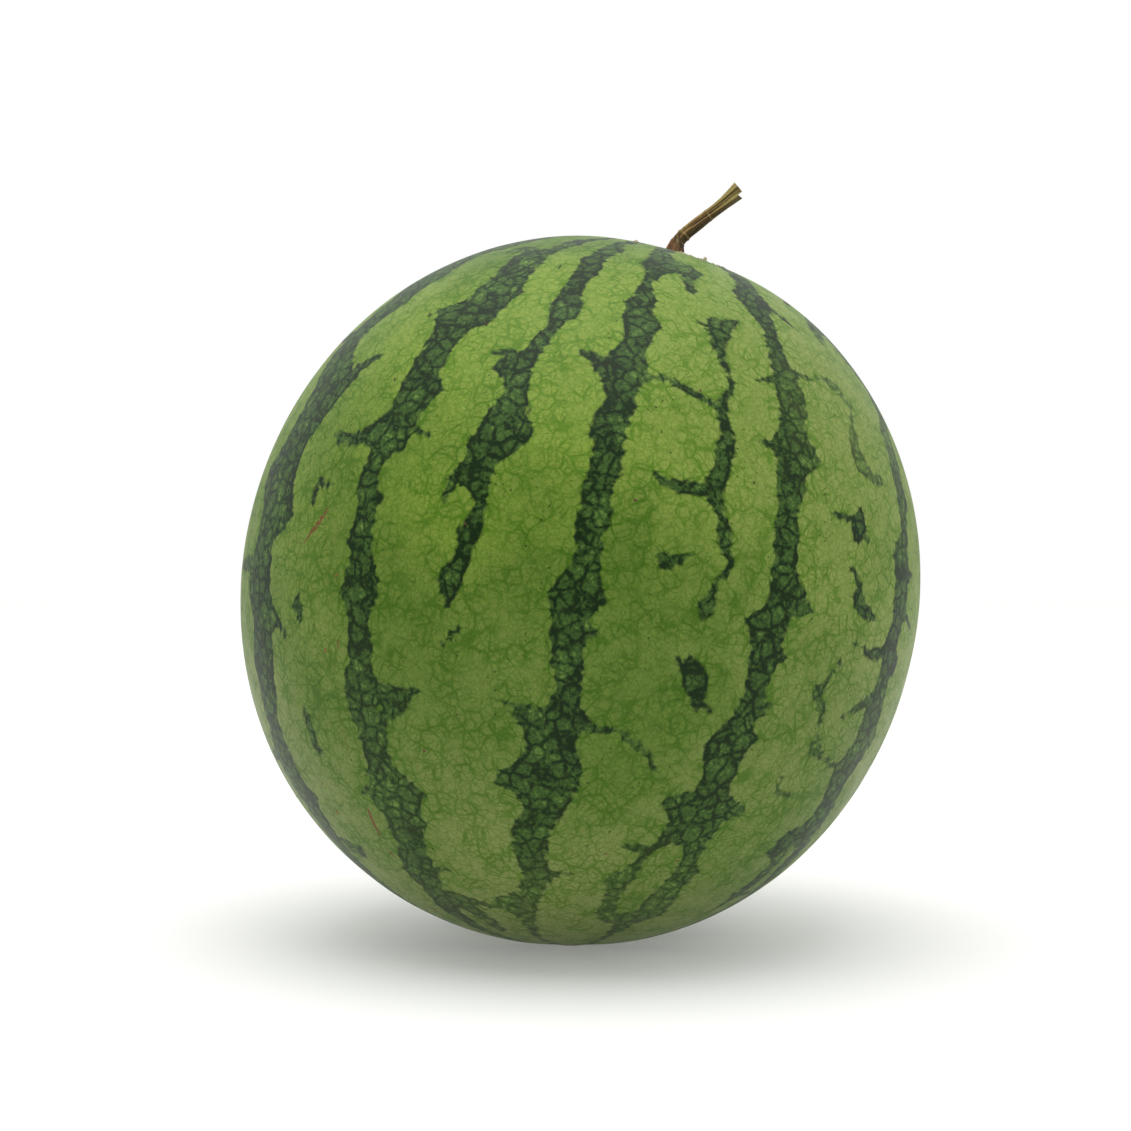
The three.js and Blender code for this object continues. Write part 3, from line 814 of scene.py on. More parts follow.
# The rind's noises: how wide their lumps are, and how much detail they hold.
RIND_NOISES = {
    "teeth": (1.3, 3.0),
    "blotches": (9.0, 2.0),
    "drift": (48.0, 2.0),
    "grain": (0.8, 1.0),
    "clouds": (17.0, 0.0),
}
RIND_FIELDS = ("stripe_depth", "deep_green", "wax_bloom", "faded", "cork_depth")

VEIN_JOIN = 1.2  # how broadly a vein flares where it leaves a stripe
# A stripe reaches out along a wall of the net, and the middle of a cell pushes it back. These are the
# distances from the wall at which one turns into the other, and how hard each kind of cell pushes.
WIDE_BULGE = 1.2
SMALL_BULGE = 0.55
WIDE_PUSH = 0.6
SMALL_PUSH = (0.1, 0.35)  # in a main stripe, and how much more where only a vein runs
TOOTH_DEPTH = 0.9  # how far an edge strays with the noise of the teeth
# Depths in a stripe, negative outside: where it starts to show, where it darkens towards its rim, and
# where the net beside it starts to strengthen.
STRIPE_EDGE = -0.6
STRIPE_RIM = (2.2, 0.2)
STRIPE_SIDE = -5.0
WIDE_LINE = 0.7  # how far a soft line of each net spreads on the pale ground
SMALL_LINE = 0.45
WIDE_WALL = 1.1  # how far the dark of each net's walls spreads inside a stripe
SMALL_WALL = 0.7
# Depths in a scratch, a pit or a patch of cork where it starts to show, and shows in full.
SCRATCH_EDGE = (-0.25, 0.2)
PIT_EDGE = (-0.3, 0.15)
CORK_EDGE = (-0.5, 0.9)
CORK_FRAY = 3.5  # how far the cork's edge strays with that noise
PORE_SPACING = 2.4
PORE_EDGE = (0.13, 0.05)  # as shares of the spacing: where a fine pore shows, and shows in full
BROAD_PORE = 0.09  # how much broader the broadest is, as such a share
PORE_FRAY = (0.5, 0.5)  # how broadly a pore's rim wanders, and how far
GRAIN_HEIGHT = 0.07  # relief of the grain


def start_material(name):
    """An empty material and its tree."""
    material = bpy.data.materials.new(name)
    material.use_nodes = True
    material.node_tree.nodes.clear()
    return material, material.node_tree


def finish_material(tree, finish):
    """Ends a material's tree with its skin shader, finished as given."""
    shader = put(tree, "ShaderNodeBsdfPrincipled", finish)
    put(tree, "ShaderNodeOutputMaterial", {"Surface": shader})


def weighed(tree, total, *patterns):
    """A value with patterns added to it, each times its own weight."""
    for pattern, weight in patterns:
        total = put(tree, "ShaderNodeMath", (pattern, weight, total), operation="MULTIPLY_ADD")
    return total


def coated(tree, colour, *coats):
    """A colour with coats laid over it in turn, each as thick as its amount."""
    for amount, coat in coats:
        colour = put(tree, "ShaderNodeMix", {0: amount, 6: colour, 7: coat}, **IN_COLOUR)
    return colour


def grained(tree, colour, grain, dark, bright):
    """A colour dimmed and brightened between two shares by a noise."""
    light = put(tree, "ShaderNodeMapRange", (grain, *NOISE_RANGE, dark, bright))
    light = put(tree, "ShaderNodeCombineXYZ", (light, light, light))
    return put(tree, "ShaderNodeVectorMath", (colour, light), operation="MULTIPLY")


def pushed(tree, source, width, distance):
    """The place moved about at random, so that what is drawn there wanders."""
    away = put(
        tree, "ShaderNodeTexNoise", {"Vector": source, "Scale": 1 / width, "Detail": 1.0}, out="Color",
    )
    away = put(tree, "ShaderNodeVectorMath", (away, (0.5, 0.5, 0.5)), operation="SUBTRACT")
    away = put(tree, "ShaderNodeVectorMath", {0: away, "Scale": distance}, operation="SCALE")
    return put(tree, "ShaderNodeVectorMath", (source, away), operation="ADD")


def wall_distance(tree, source, width):
    """Millimetres to the nearest wall of a net with cells this wide."""
    wall = put(
        tree, "ShaderNodeTexVoronoi", {"Vector": source, "Scale": 1 / width}, feature="DISTANCE_TO_EDGE",
    )
    return put(tree, "ShaderNodeMath", (wall, width), operation="MULTIPLY")


def line_depth(tree, name):
    """How deep a place lies inside a thin line, in millimetres."""
    offset = put(tree, "ShaderNodeAttribute", out="Fac", attribute_name=name + "_offset")
    reach = put(tree, "ShaderNodeAttribute", out="Fac", attribute_name=name + "_reach")
    beside = put(tree, "ShaderNodeMath", (offset,), operation="ABSOLUTE")
    return put(tree, "ShaderNodeMath", (reach, beside), operation="SUBTRACT")


def rind_patterns(tree):
    """What the rind is drawn from: its place in millimetres, its two nets, its noises and its fields."""
    place = put(tree, "ShaderNodeTexCoord", out="Object")
    place = put(tree, "ShaderNodeVectorMath", {0: place, "Scale": 1 / MM}, operation="SCALE")
    swayed = place
    for sway in NET_SWAYS:
        swayed = pushed(tree, swayed, *sway)
    rind = SimpleNamespace(place=place)
    rind.wide_wall = wall_distance(tree, swayed, WIDE_CELL)
    rind.small_wall = wall_distance(tree, swayed, SMALL_CELL)
    for name, (width, detail) in RIND_NOISES.items():
        noise = put(tree, "ShaderNodeTexNoise", {"Vector": place, "Scale": 1 / width, "Detail": detail})
        setattr(rind, name, noise)
    rind.ragged = put(tree, "ShaderNodeMath", (rind.teeth, 0.5), operation="SUBTRACT")
    rind.lumpy = put(tree, "ShaderNodeMath", (rind.blotches, 0.5), operation="SUBTRACT")
    for name in RIND_FIELDS:
        setattr(rind, name, put(tree, "ShaderNodeAttribute", out="Fac", attribute_name=name))
    return rind


def stripe_shape(tree, rind):
    """How deep a place lies in a stripe or a vein, and how slim that is, from 0 for a main stripe to 1
    where only a vein runs. Veins join a stripe softly, and the pale cells bulge into both, most of all
    into a vein, which is itself a net of small cells."""
    slim = put(tree, "ShaderNodeMapRange", (rind.stripe_depth, 1.0, -0.8), **SMOOTHLY)
    lines = (line_depth(tree, "vein"), line_depth(tree, "spur"))
    veins = put(tree, "ShaderNodeMath", lines, operation="MAXIMUM")
    depth = put(tree, "ShaderNodeMath", (rind.stripe_depth, veins, VEIN_JOIN), operation="SMOOTH_MAX")
    wide_bulge = put(tree, "ShaderNodeMath", (WIDE_BULGE, rind.wide_wall), operation="SUBTRACT")
    small_bulge = put(tree, "ShaderNodeMath", (SMALL_BULGE, rind.small_wall), operation="SUBTRACT")
    least, more = SMALL_PUSH
    small_push = put(tree, "ShaderNodeMath", (slim, more, least), operation="MULTIPLY_ADD")
    pushes = ((wide_bulge, WIDE_PUSH), (small_bulge, small_push), (rind.ragged, TOOTH_DEPTH))
    return weighed(tree, depth, *pushes), slim


def vein_net(tree, rind, depth):
    """How strongly the soft deeper lines of the two nets show on the pale ground. They are broader and
    stronger in places and beside a stripe."""
    broken = put(tree, "ShaderNodeMapRange", (rind.blotches, 0.3, 0.62), **SMOOTHLY)
    beside = put(tree, "ShaderNodeMapRange", (depth, STRIPE_SIDE, STRIPE_EDGE), **SMOOTHLY)
    strength = weighed(tree, 0.4, (beside, 0.25), (broken, 0.7))
    wide_line = weighed(tree, rind.wide_wall, (rind.lumpy, -0.7), (rind.ragged, 1.0))
    wide_line = put(tree, "ShaderNodeMapRange", (wide_line, WIDE_LINE, 0.0), **SMOOTHLY)
    wide_line = put(tree, "ShaderNodeMath", (wide_line, strength), operation="MULTIPLY")
    strength = put(tree, "ShaderNodeMath", (broken, 0.4, 0.4), operation="MULTIPLY_ADD")
    frayed = (rind.ragged, 0.8, rind.small_wall)
    small_line = put(tree, "ShaderNodeMath", frayed, operation="MULTIPLY_ADD")
    small_line = put(tree, "ShaderNodeMapRange", (small_line, SMALL_LINE, 0.0), **SMOOTHLY)
    small_line = put(tree, "ShaderNodeMath", (small_line, strength), operation="MULTIPLY")
    return put(tree, "ShaderNodeMath", (wide_line, small_line), operation="MAXIMUM")


def pale_ground(tree, rind, depth):
    """The skin between the stripes: pale, greyer under a thick bloom and towards the bottom, deeper green
    in drifts and patches, and stained by the net of veins."""
    drift = put(tree, "ShaderNodeMath", (rind.drift, 0.5), operation="SUBTRACT")
    deep = weighed(tree, rind.deep_green, (drift, 1.6), (rind.lumpy, 0.7))
    deep = put(tree, "ShaderNodeMapRange", (deep, -0.25, 0.95), **SMOOTHLY)
    ground = coated(
        tree, linear(PALE_SKIN), (rind.wax_bloom, linear(GREYED_SKIN)), (deep, linear(DEEP_SKIN)),
    )
    stained = put(
        tree, "ShaderNodeVectorMath", (ground, linear(VEIN_STAIN)[:3]), operation="MULTIPLY",
    )
    net = vein_net(tree, rind, depth)
    return put(tree, "ShaderNodeMix", {0: net, 6: ground, 7: stained}, **IN_COLOUR)


def stripe_inside(tree, rind, depth, slim):
    """The colour inside a stripe: nearly black walls, and cells that show green here and there."""
    small_cell = put(tree, "ShaderNodeMapRange", (rind.small_wall, 0.0, SMALL_WALL), **SMOOTHLY)
    wide_cell = put(tree, "ShaderNodeMapRange", (rind.wide_wall, 0.0, WIDE_WALL), **SMOOTHLY)
    wide_cell = put(tree, "ShaderNodeMath", (wide_cell, 0.5), operation="SUBTRACT")
    grain = put(tree, "ShaderNodeMath", (rind.grain, 0.5), operation="SUBTRACT")
    rim = put(tree, "ShaderNodeMapRange", (depth, *STRIPE_RIM), **SMOOTHLY)
    green = weighed(
        tree, 0.0, (small_cell, 0.35), (wide_cell, 0.65), (rind.lumpy, 1.4), (rind.ragged, 0.8),
        (grain, 0.6), (slim, 0.12), (rim, -0.25), (rind.faded, 0.5),
    )
    cell = put(tree, "ShaderNodeMapRange", (green, -0.24, 0.66), **SMOOTHLY)
    bright = put(tree, "ShaderNodeMapRange", (green, 0.55, 1.3), **SMOOTHLY)
    return coated(
        tree, linear(STRIPE_LINE), (cell, linear(STRIPE_CELL)), (bright, linear(BRIGHT_CELL)),
    )


def striped(tree, rind):
    """The pale ground with its stripes, which thin out where they are faded."""
    depth, slim = stripe_shape(tree, rind)
    full = put(tree, "ShaderNodeMath", (slim, 0.5, 0.5), operation="MULTIPLY_ADD")
    stripe = put(tree, "ShaderNodeMapRange", (depth, STRIPE_EDGE, full), **SMOOTHLY)
    faded = put(tree, "ShaderNodeMath", (rind.faded, 0.0), operation="MAXIMUM")
    seen = put(tree, "ShaderNodeMath", (faded, -0.55, 1.0), operation="MULTIPLY_ADD")
    stripe = put(tree, "ShaderNodeMath", (stripe, seen), operation="MULTIPLY")
    ground = pale_ground(tree, rind, depth)
    inside = stripe_inside(tree, rind, depth, slim)
    return put(tree, "ShaderNodeMix", {0: stripe, 6: ground, 7: inside}, **IN_COLOUR)


def healed_pores(tree, rind):
    """How strongly the pin-pricks show, the breathing pores that have healed dark. Many are fine and a
    few are broad, and they come in clouds."""
    frayed = pushed(tree, rind.place, *PORE_FRAY)
    pore = put(
        tree, "ShaderNodeTexVoronoi", {"Vector": frayed, "Scale": 1 / PORE_SPACING}, out="Distance",
    )
    luck = put(tree, "ShaderNodeSeparateColor", (pore.node.outputs["Color"],), out="Red")
    luck = put(tree, "ShaderNodeMath", (luck, 4.0), operation="POWER")
    pore = put(tree, "ShaderNodeMath", (luck, -BROAD_PORE, pore), operation="MULTIPLY_ADD")
    pore = put(tree, "ShaderNodeMapRange", (pore, *PORE_EDGE), **SMOOTHLY)
    cloud = put(tree, "ShaderNodeMapRange", (rind.clouds, 0.4, 0.56), **SMOOTHLY)
    pore = put(tree, "ShaderNodeMath", (pore, cloud), operation="MULTIPLY")
    return put(tree, "ShaderNodeMath", (pore, 0.85), operation="MULTIPLY")


def scarred(tree, rind, colour):
    """The rind with its corky scratches, its black pits, and the cork round the stem's root and on the
    blossom scar."""
    scratch = line_depth(tree, "scratch")
    scratch = put(tree, "ShaderNodeMapRange", (scratch, *SCRATCH_EDGE), **SMOOTHLY)
    scratch = put(tree, "ShaderNodeMath", (scratch, 0.8), operation="MULTIPLY")
    pit = put(tree, "ShaderNodeMapRange", (line_depth(tree, "pit"), *PIT_EDGE), **SMOOTHLY)
    frayed = (rind.ragged, CORK_FRAY, rind.cork_depth)
    cork = put(tree, "ShaderNodeMath", frayed, operation="MULTIPLY_ADD")
    cork = put(tree, "ShaderNodeMapRange", (cork, *CORK_EDGE), **SMOOTHLY)
    crumb = put(tree, "ShaderNodeMapRange", (rind.ragged, -0.25, 0.2), **SMOOTHLY)
    crumbs = put(tree, "ShaderNodeMix", {0: crumb, 6: linear(CORK_FURROW), 7: linear(CORK)}, **IN_COLOUR)
    return coated(
        tree, colour, (scratch, linear(SCRATCH_RED)), (pit, linear(PINPRICK)), (cork, crumbs),
    )


def rind_material():
    """Watermelon rind: living skin under a thin wax bloom, so it has a low satin gloss. Its green lies
    in soft cells between a net of veins, and where the veins run together they make the stripes."""
    material, tree = start_material("watermelon_rind")
    rind = rind_patterns(tree)
    pores = healed_pores(tree, rind)
    colour = put(
        tree, "ShaderNodeMix", {0: pores, 6: striped(tree, rind), 7: linear(PINPRICK)}, **IN_COLOUR,
    )
    colour = grained(tree, colour, rind.grain, 0.86, 1.14)
    bump = put(
        tree, "ShaderNodeBump", {"Height": rind.grain, "Distance": GRAIN_HEIGHT * MM, "Strength": 1.0},
    )
    finish_material(tree, {
        "Base Color": scarred(tree, rind, colour),
        "IOR": 1.45,
        "Specular IOR Level": 0.14,
        "Roughness": put(tree, "ShaderNodeMapRange", (rind.blotches, 0.0, 1.0, 0.36, 0.5)),
        "Normal": bump,
    })
    return material


# ---------------------------------------------------------------- scales and flecks

# Specks of cork on the rind: polar angle, longitude, length, width and height in millimetres, the turn
# in degrees, and the tint from 0, a dry white scale, over 0.5, rust, to 1, deep red-brown.
FLECKS = [
    (107.8, -133.7, 1.6, 0.9, 0.2, 20, 0.5), (92, -132, 1.4, 0.8, 0.2, 60, 0.6),
    (96.5, -131, 1.3, 0.7, 0.2, 0, 0.5), (92, -141.3, 1.3, 0.8, 0.2, 30, 0.6),
    (134, -146.5, 1.8, 1.0, 0.25, 70, 0.55), (129, -145.8, 1.5, 0.9, 0.2, 10, 0.5),
    (122, -115, 1.0, 0.8, 0.15, 0, 0.9), (133.5, -76.5, 1.2, 0.8, 0.15, 40, 0.85),
    (135, -74, 0.9, 0.7, 0.15, 0, 0.9), (138, -78.5, 1.0, 0.7, 0.15, 20, 0.85),
    (138.5, -80.5, 0.9, 0.6, 0.15, 0, 0.9), (138.5, -60.5, 1.2, 0.8, 0.15, 80, 0.85),
    (79.5, -83.3, 1.2, 0.9, 0.15, 15, 1.0), (65.5, -130.5, 1.2, 0.8, 0.15, 50, 1.0),
    (59, -75.5, 1.0, 0.8, 0.15, 0, 1.0), (53.7, -118.2, 1.1, 0.7, 0.15, 30, 1.0),
    (87, -108.5, 1.1, 0.8, 0.15, 0, 1.0),
]
FLECK_SEED = 11

# A ring of dry scales where the flower's leaves fell off the rim of the hollow, and one curled stub.
RIM_SCALES = 34
RIM_POLAR = (12.5, 17.6)
RIM_STUB = (16.6, -69.8, 1.3, 1.1, 2.6, 0, 0.12)
ROOT_SCALES = 26
ROOT_SIDE = (-86.0, -58.0)  # longitudes where more scales cling, beside the root
SCALE_LENGTH = (0.5, 1.9)
SCALE_SLIMNESS = (0.4, 0.9)  # the width as a share of the length
SCALE_HEIGHT = (0.35, 0.9)
SCALE_TINT = (0, 0.22)

# More specks are scattered over the back.
SCATTERED_FLECKS = 70
SCATTER_POLAR = (25, 165)
SCATTER_SIDE = (-5, 185)
SPECK_LENGTH = (0.8, 1.6)
SPECK_SLIMNESS = (0.5, 0.8)
SPECK_HEIGHT = 0.2
SPECK_TINT = (0.5, 1.0)

FLECK_SIZES = {"Roughness": 1.1, "Grain": 0.8}  # how far a lump is pushed out of shape, and how broadly
CRUMB_WIDTH = 0.5  # of the crumbs in the cork, and their relief
CRUMB_HEIGHT = 0.2


def fleck_tree(material):
    """A low lump on each point, sized, turned and laid on the rind by the point's own attributes."""
    tree, size = start_tree("cork_flecks", FLECK_SIZES)
    points = put(tree, "GeometryNodeMeshToPoints", {"Mesh": size["Geometry"]})
    lump = put(tree, "GeometryNodeMeshIcoSphere", {"Radius": 0.5, "Subdivisions": 3})
    outward = put(tree, "GeometryNodeInputNamedAttribute", {"Name": "outward"}, data_type="FLOAT_VECTOR")
    scale = put(tree, "GeometryNodeInputNamedAttribute", {"Name": "size"}, data_type="FLOAT_VECTOR")
    turn = put(tree, "GeometryNodeInputNamedAttribute", {"Name": "turn"})
    upright = put(tree, "FunctionNodeAlignRotationToVector", {"Vector": outward})
    spin = put(tree, "ShaderNodeCombineXYZ", {2: turn})
    turned = put(
        tree, "FunctionNodeRotateRotation", {"Rotation": upright, "Rotate By": spin},
        rotation_space="LOCAL",
    )
    laid = put(
        tree, "GeometryNodeInstanceOnPoints",
        {"Points": points, "Instance": lump, "Rotation": turned, "Scale": scale},
    )
    solid = put(tree, "GeometryNodeRealizeInstances", {"Geometry": laid})
    place = put(tree, "GeometryNodeInputPosition")
    fineness = put(tree, "ShaderNodeMath", (1.0, size["Grain"]), operation="DIVIDE")
    wave = put(
        tree, "ShaderNodeTexNoise", {"Vector": place, "Scale": fineness, "Detail": 2.0}, out="Color",
    )
    wave = put(tree, "ShaderNodeVectorMath", (wave, (0.5, 0.5, 0.5)), operation="SUBTRACT")
    wave = put(tree, "ShaderNodeVectorMath", {0: wave, "Scale": size["Roughness"]}, operation="SCALE")
    rough = put(tree, "GeometryNodeSetPosition", {"Geometry": solid, "Offset": wave})
    metres = put(tree, "GeometryNodeTransform", {"Geometry": rough, "Scale": (MM, MM, MM)})
    smooth = put(tree, "GeometryNodeSetShadeSmooth", {"Geometry": metres})
    finish_tree(tree, smooth, material)
    return tree


def dry_scales(draw):
    """Scales drawn at random all round the rim of the hollow, and then more beside the root."""
    scales = []
    for side in [(-180, 180)] * RIM_SCALES + [ROOT_SIDE] * ROOT_SCALES:
        length = draw.uniform(*SCALE_LENGTH)
        scales.append((
            draw.uniform(*RIM_POLAR), draw.uniform(*side),
            length, length * draw.uniform(*SCALE_SLIMNESS), draw.uniform(*SCALE_HEIGHT),
            draw.uniform(0, 180), draw.uniform(*SCALE_TINT),
        ))
    return scales


def back_specks(draw):
    """Specks drawn at random over the back, as densely near its ends as at its middle."""
    specks = []
    while len(specks) < SCATTERED_FLECKS:
        polar, longitude = draw.uniform(*SCATTER_POLAR), draw.uniform(*SCATTER_SIDE)
        if draw.random() < math.sin(math.radians(polar)):
            length = draw.uniform(*SPECK_LENGTH)
            specks.append((
                polar, longitude, length, length * draw.uniform(*SPECK_SLIMNESS), SPECK_HEIGHT,
                draw.uniform(0, 180), draw.uniform(*SPECK_TINT),
            ))
    return specks


def make_flecks(skin):
    """The piece that holds every speck and scale, each laid on the skin where its angles meet it."""
    draw = random.Random(FLECK_SEED)
    flecks = [*FLECKS, RIM_STUB, *dry_scales(draw), *back_specks(draw)]
    places, outward = [], []
    for fleck in flecks:
        direction = growth_direction(*fleck[:2])
        _, spot, normal, _ = skin.ray_cast(MIDDLE * MM, direction)
        places.append(tuple(spot / MM))
        outward.append(normal if normal.dot(direction) > 0 else -normal)
    start = bpy.data.meshes.new("fleck_places")
    start.from_pydata(places, [], [])
    for name, values in (("outward", outward), ("size", [fleck[2:5] for fleck in flecks])):
        field = start.attributes.new(name, "FLOAT_VECTOR", "POINT")
        field.data.foreach_set("vector", np.array(values, np.float32).ravel())
    add_field(start, "turn", np.radians([fleck[5] for fleck in flecks]))
    add_field(start, "tint", np.array([fleck[6] for fleck in flecks]))
    return grown("cork_flecks", fleck_tree(cork_material()), FLECK_SIZES, start)


def cork_material():
    """Cork: healed skin that has dried in crumbs, matt all over, white where it is thin and old and
    rusty where it is thick."""
    material, tree = start_material("healed_cork")
    tint = put(tree, "ShaderNodeAttribute", out="Fac", attribute_name="tint")
    rusty = put(tree, "ShaderNodeMapRange", (tint, 0.0, 0.5))
    red = put(tree, "ShaderNodeMapRange", (tint, 0.5, 1.0))
    colour = coated(tree, linear(SCAB_PALE), (rusty, linear(RUST)), (red, linear(RED_SPECK)))
    place = put(tree, "ShaderNodeTexCoord", out="Object")
    fineness = 1 / (CRUMB_WIDTH * MM)
    crumbs = put(tree, "ShaderNodeTexNoise", {"Vector": place, "Scale": fineness, "Detail": 2.0})
    bump = put(
        tree, "ShaderNodeBump", {"Height": crumbs, "Distance": CRUMB_HEIGHT * MM, "Strength": 0.7},
    )
    finish_material(tree, {
        "Base Color": grained(tree, colour, crumbs, 0.6, 1.2),
        "Roughness": 0.85,
        "Normal": bump,
    })
    return material


# ---------------------------------------------------------------- stem


def curve_between(before, start, end, after):
    """Points from start up to end on the centripetal Catmull-Rom curve through all four."""
    first = (start - before).length ** 0.5
    second = first + (end - start).length ** 0.5
    third = second + (after - end).length ** 0.5
    points = []
    for t in np.linspace(first, second, CURVE_STEPS, endpoint=False):
        share = (t - first) / (second - first)
        arriving = before.lerp(start, t / first)
        crossing = start.lerp(end, share)
        leaving = end.lerp(after, (t - second) / (third - second))
        early = arriving.lerp(crossing, t / second)
        late = crossing.lerp(leaving, (t - first) / (third - first))
        points.append(early.lerp(late, share))
    return points


def stem_middle_line():
    """Evenly spaced points along the curve through the stem's line."""
    listed = [Vector(point) for point in STEM_LINE]
    listed = [2 * listed[0] - listed[1], *listed, 2 * listed[-1] - listed[-2]]
    dense = []
    for four in zip(listed, listed[1:], listed[2:], listed[3:]):
        dense += curve_between(*four)
    dense = np.array([*dense, listed[-2]])
    length = np.concatenate([[0], np.cumsum(np.linalg.norm(np.diff(dense, axis=0), axis=1))])
    even = np.linspace(0, length[-1], STEM_STEPS)
    return np.stack([np.interp(even, length, dense[:, axis]) for axis in range(3)], axis=1)


STEM_SIZES = {
    "Sides": STEM_SIDES,
    "Ridges": float(STEM_RIDGES[0]),
    "Ridge depth": STEM_RIDGES[1],
    "Fine ridges": float(STEM_FINE_RIDGES[0]),
    "Fine ridge depth": STEM_FINE_RIDGES[1],
    "Twist": math.radians(STEM_TWIST),
    "Fibre depth": STEM_FIBRE_DEPTH,
    "Split reach": SPLIT_REACH,
    "Split spread": SPLIT_REACH * math.sqrt(3) * math.tan(math.radians(SPLIT_OPENING / 2)),
    "Split place": (0.0, 0.0, 0.0),
    "Split turn": (0.0, 0.0, 0.0),
}


def wound_place(tree, along, around, run):
    """A place on a tube one unit in radius and run units long, which stands for the stem."""
    cosine = put(tree, "ShaderNodeMath", (around,), operation="COSINE")
    sine = put(tree, "ShaderNodeMath", (around,), operation="SINE")
    height = put(tree, "ShaderNodeMath", (along, run), operation="MULTIPLY")
    return put(tree, "ShaderNodeCombineXYZ", (cosine, sine, height))


def ridged_section(tree, size):
    """A ring swelled by the ridges, on which each point keeps its angle as the field around."""
    ring = put(tree, "GeometryNodeCurvePrimitiveCircle", {"Resolution": size["Sides"], "Radius": 1.0})
    place = put(tree, "GeometryNodeInputPosition")
    x, y, _ = put(tree, "ShaderNodeSeparateXYZ", (place,)).node.outputs
    angle = put(tree, "ShaderNodeMath", (y, x), operation="ARCTAN2")
    ring = put(
        tree, "GeometryNodeStoreNamedAttribute", {"Geometry": ring, "Name": "around", "Value": angle},
    )
    swell = 1.0
    for name in ("Ridge", "Fine ridge"):
        wave = put(tree, "ShaderNodeMath", (angle, size[name + "s"]), operation="MULTIPLY")
        wave = put(tree, "ShaderNodeMath", (wave,), operation="COSINE")
        depth = size[name + " depth"]
        swell = put(tree, "ShaderNodeMath", (wave, depth, swell), operation="MULTIPLY_ADD")
    section = put(tree, "ShaderNodeVectorMath", {0: place, "Scale": swell}, operation="SCALE")
    return put(tree, "GeometryNodeSetPosition", {"Geometry": ring, "Position": section})


def fibrous(tree, size, tube):
    """The tube with fibres raised on it, long ripples that run with the stem. Each point keeps how far it
    faces down and away from the light as the field sunless, which paints shade on the stem's lower side."""
    along = put(tree, "GeometryNodeInputNamedAttribute", {"Name": "along"})
    around = put(tree, "GeometryNodeInputNamedAttribute", {"Name": "around"})
    spot = wound_place(tree, along, around, FIBRE_RUN)
    fibre = put(tree, "ShaderNodeTexNoise", {"Vector": spot, "Scale": FIBRE_FINENESS, "Detail": 1.5})
    fibre = put(tree, "ShaderNodeMath", (fibre, 0.5), operation="SUBTRACT")
    for share in (size["Fibre depth"], 1 / NOISE_SWING):
        fibre = put(tree, "ShaderNodeMath", (fibre, share), operation="MULTIPLY")
    facing = put(tree, "GeometryNodeInputNormal")
    # painted shade: how far each point faces down and away from the light
    sunless = put(
        tree, "ShaderNodeVectorMath", (facing, PAINTED_SHADE_SIDE), out="Value", operation="DOT_PRODUCT",
    )
    tube = put(
        tree, "GeometryNodeStoreNamedAttribute", {"Geometry": tube, "Name": "sunless", "Value": sunless},
    )
    raised = put(tree, "ShaderNodeVectorMath", {0: facing, "Scale": fibre}, operation="SCALE")
    return put(tree, "GeometryNodeSetPosition", {"Geometry": tube, "Offset": raised})


def split_open(tree, size, tube):
    """The tube with a three-sided wedge taken out of its broken end, its edge lying across the stem."""
    wedge = put(tree, "GeometryNodeMeshCylinder", {"Vertices": 3, "Radius": 1.0, "Depth": SPLIT_ACROSS})
    spread = put(tree, "ShaderNodeCombineXYZ", (size["Split reach"], size["Split spread"], 1.0))
    wedge = put(
        tree, "GeometryNodeTransform",
        {"Geometry": wedge, "Translation": size["Split place"], "Rotation": size["Split turn"],
         "Scale": spread},
    )
    return put(
        tree, "GeometryNodeMeshBoolean", {"Mesh 1": tube, "Mesh 2": wedge}, operation="DIFFERENCE",
    )


def stem_tree(material):
    """A ridged, twisted section drawn along the middle line, with raised fibres and a split end."""
    tree, size = start_tree("dry_stem", STEM_SIZES)
    line = put(tree, "GeometryNodeMeshToCurve", {"Mesh": size["Geometry"]})
    share = put(tree, "GeometryNodeSplineParameter", out="Factor")
    line = put(
        tree, "GeometryNodeStoreNamedAttribute", {"Geometry": line, "Name": "along", "Value": share},
    )
    turn = put(tree, "ShaderNodeMath", (share, size["Twist"]), operation="MULTIPLY")
    line = put(tree, "GeometryNodeSetCurveTilt", {"Curve": line, "Tilt": turn})
    section = ridged_section(tree, size)
    thickness = put(tree, "GeometryNodeInputNamedAttribute", {"Name": "thickness"})
    tube = put(
        tree, "GeometryNodeCurveToMesh",
        {"Curve": line, "Profile Curve": section, "Scale": thickness, "Fill Caps": True},
    )
    split = split_open(tree, size, fibrous(tree, size, tube))
    metres = put(tree, "GeometryNodeTransform", {"Geometry": split, "Scale": (MM, MM, MM)})
    finish_tree(tree, metres, material)
    return tree


def split_wedge(line):
    """Where the wedge goes and how it is turned: its thin edge lies inside the end and across the stem,
    and its flanks run out from there."""
    forward = Vector(line[-1] - line[-2]).normalized()
    inner = Vector((0, 1, 0)).cross(forward).normalized()
    depth, offset = END_SPLIT
    edge = Vector(line[-1]) - forward * depth + inner * offset
    turn = math.radians(SPLIT_TURN)
    outward = forward * math.cos(turn) + inner * math.sin(turn)
    sideways = inner * math.cos(turn) - forward * math.sin(turn)
    axes = Matrix((-outward, sideways, sideways.cross(outward))).transposed()
    return {"Split place": tuple(edge + outward * SPLIT_REACH), "Split turn": tuple(axes.to_euler())}


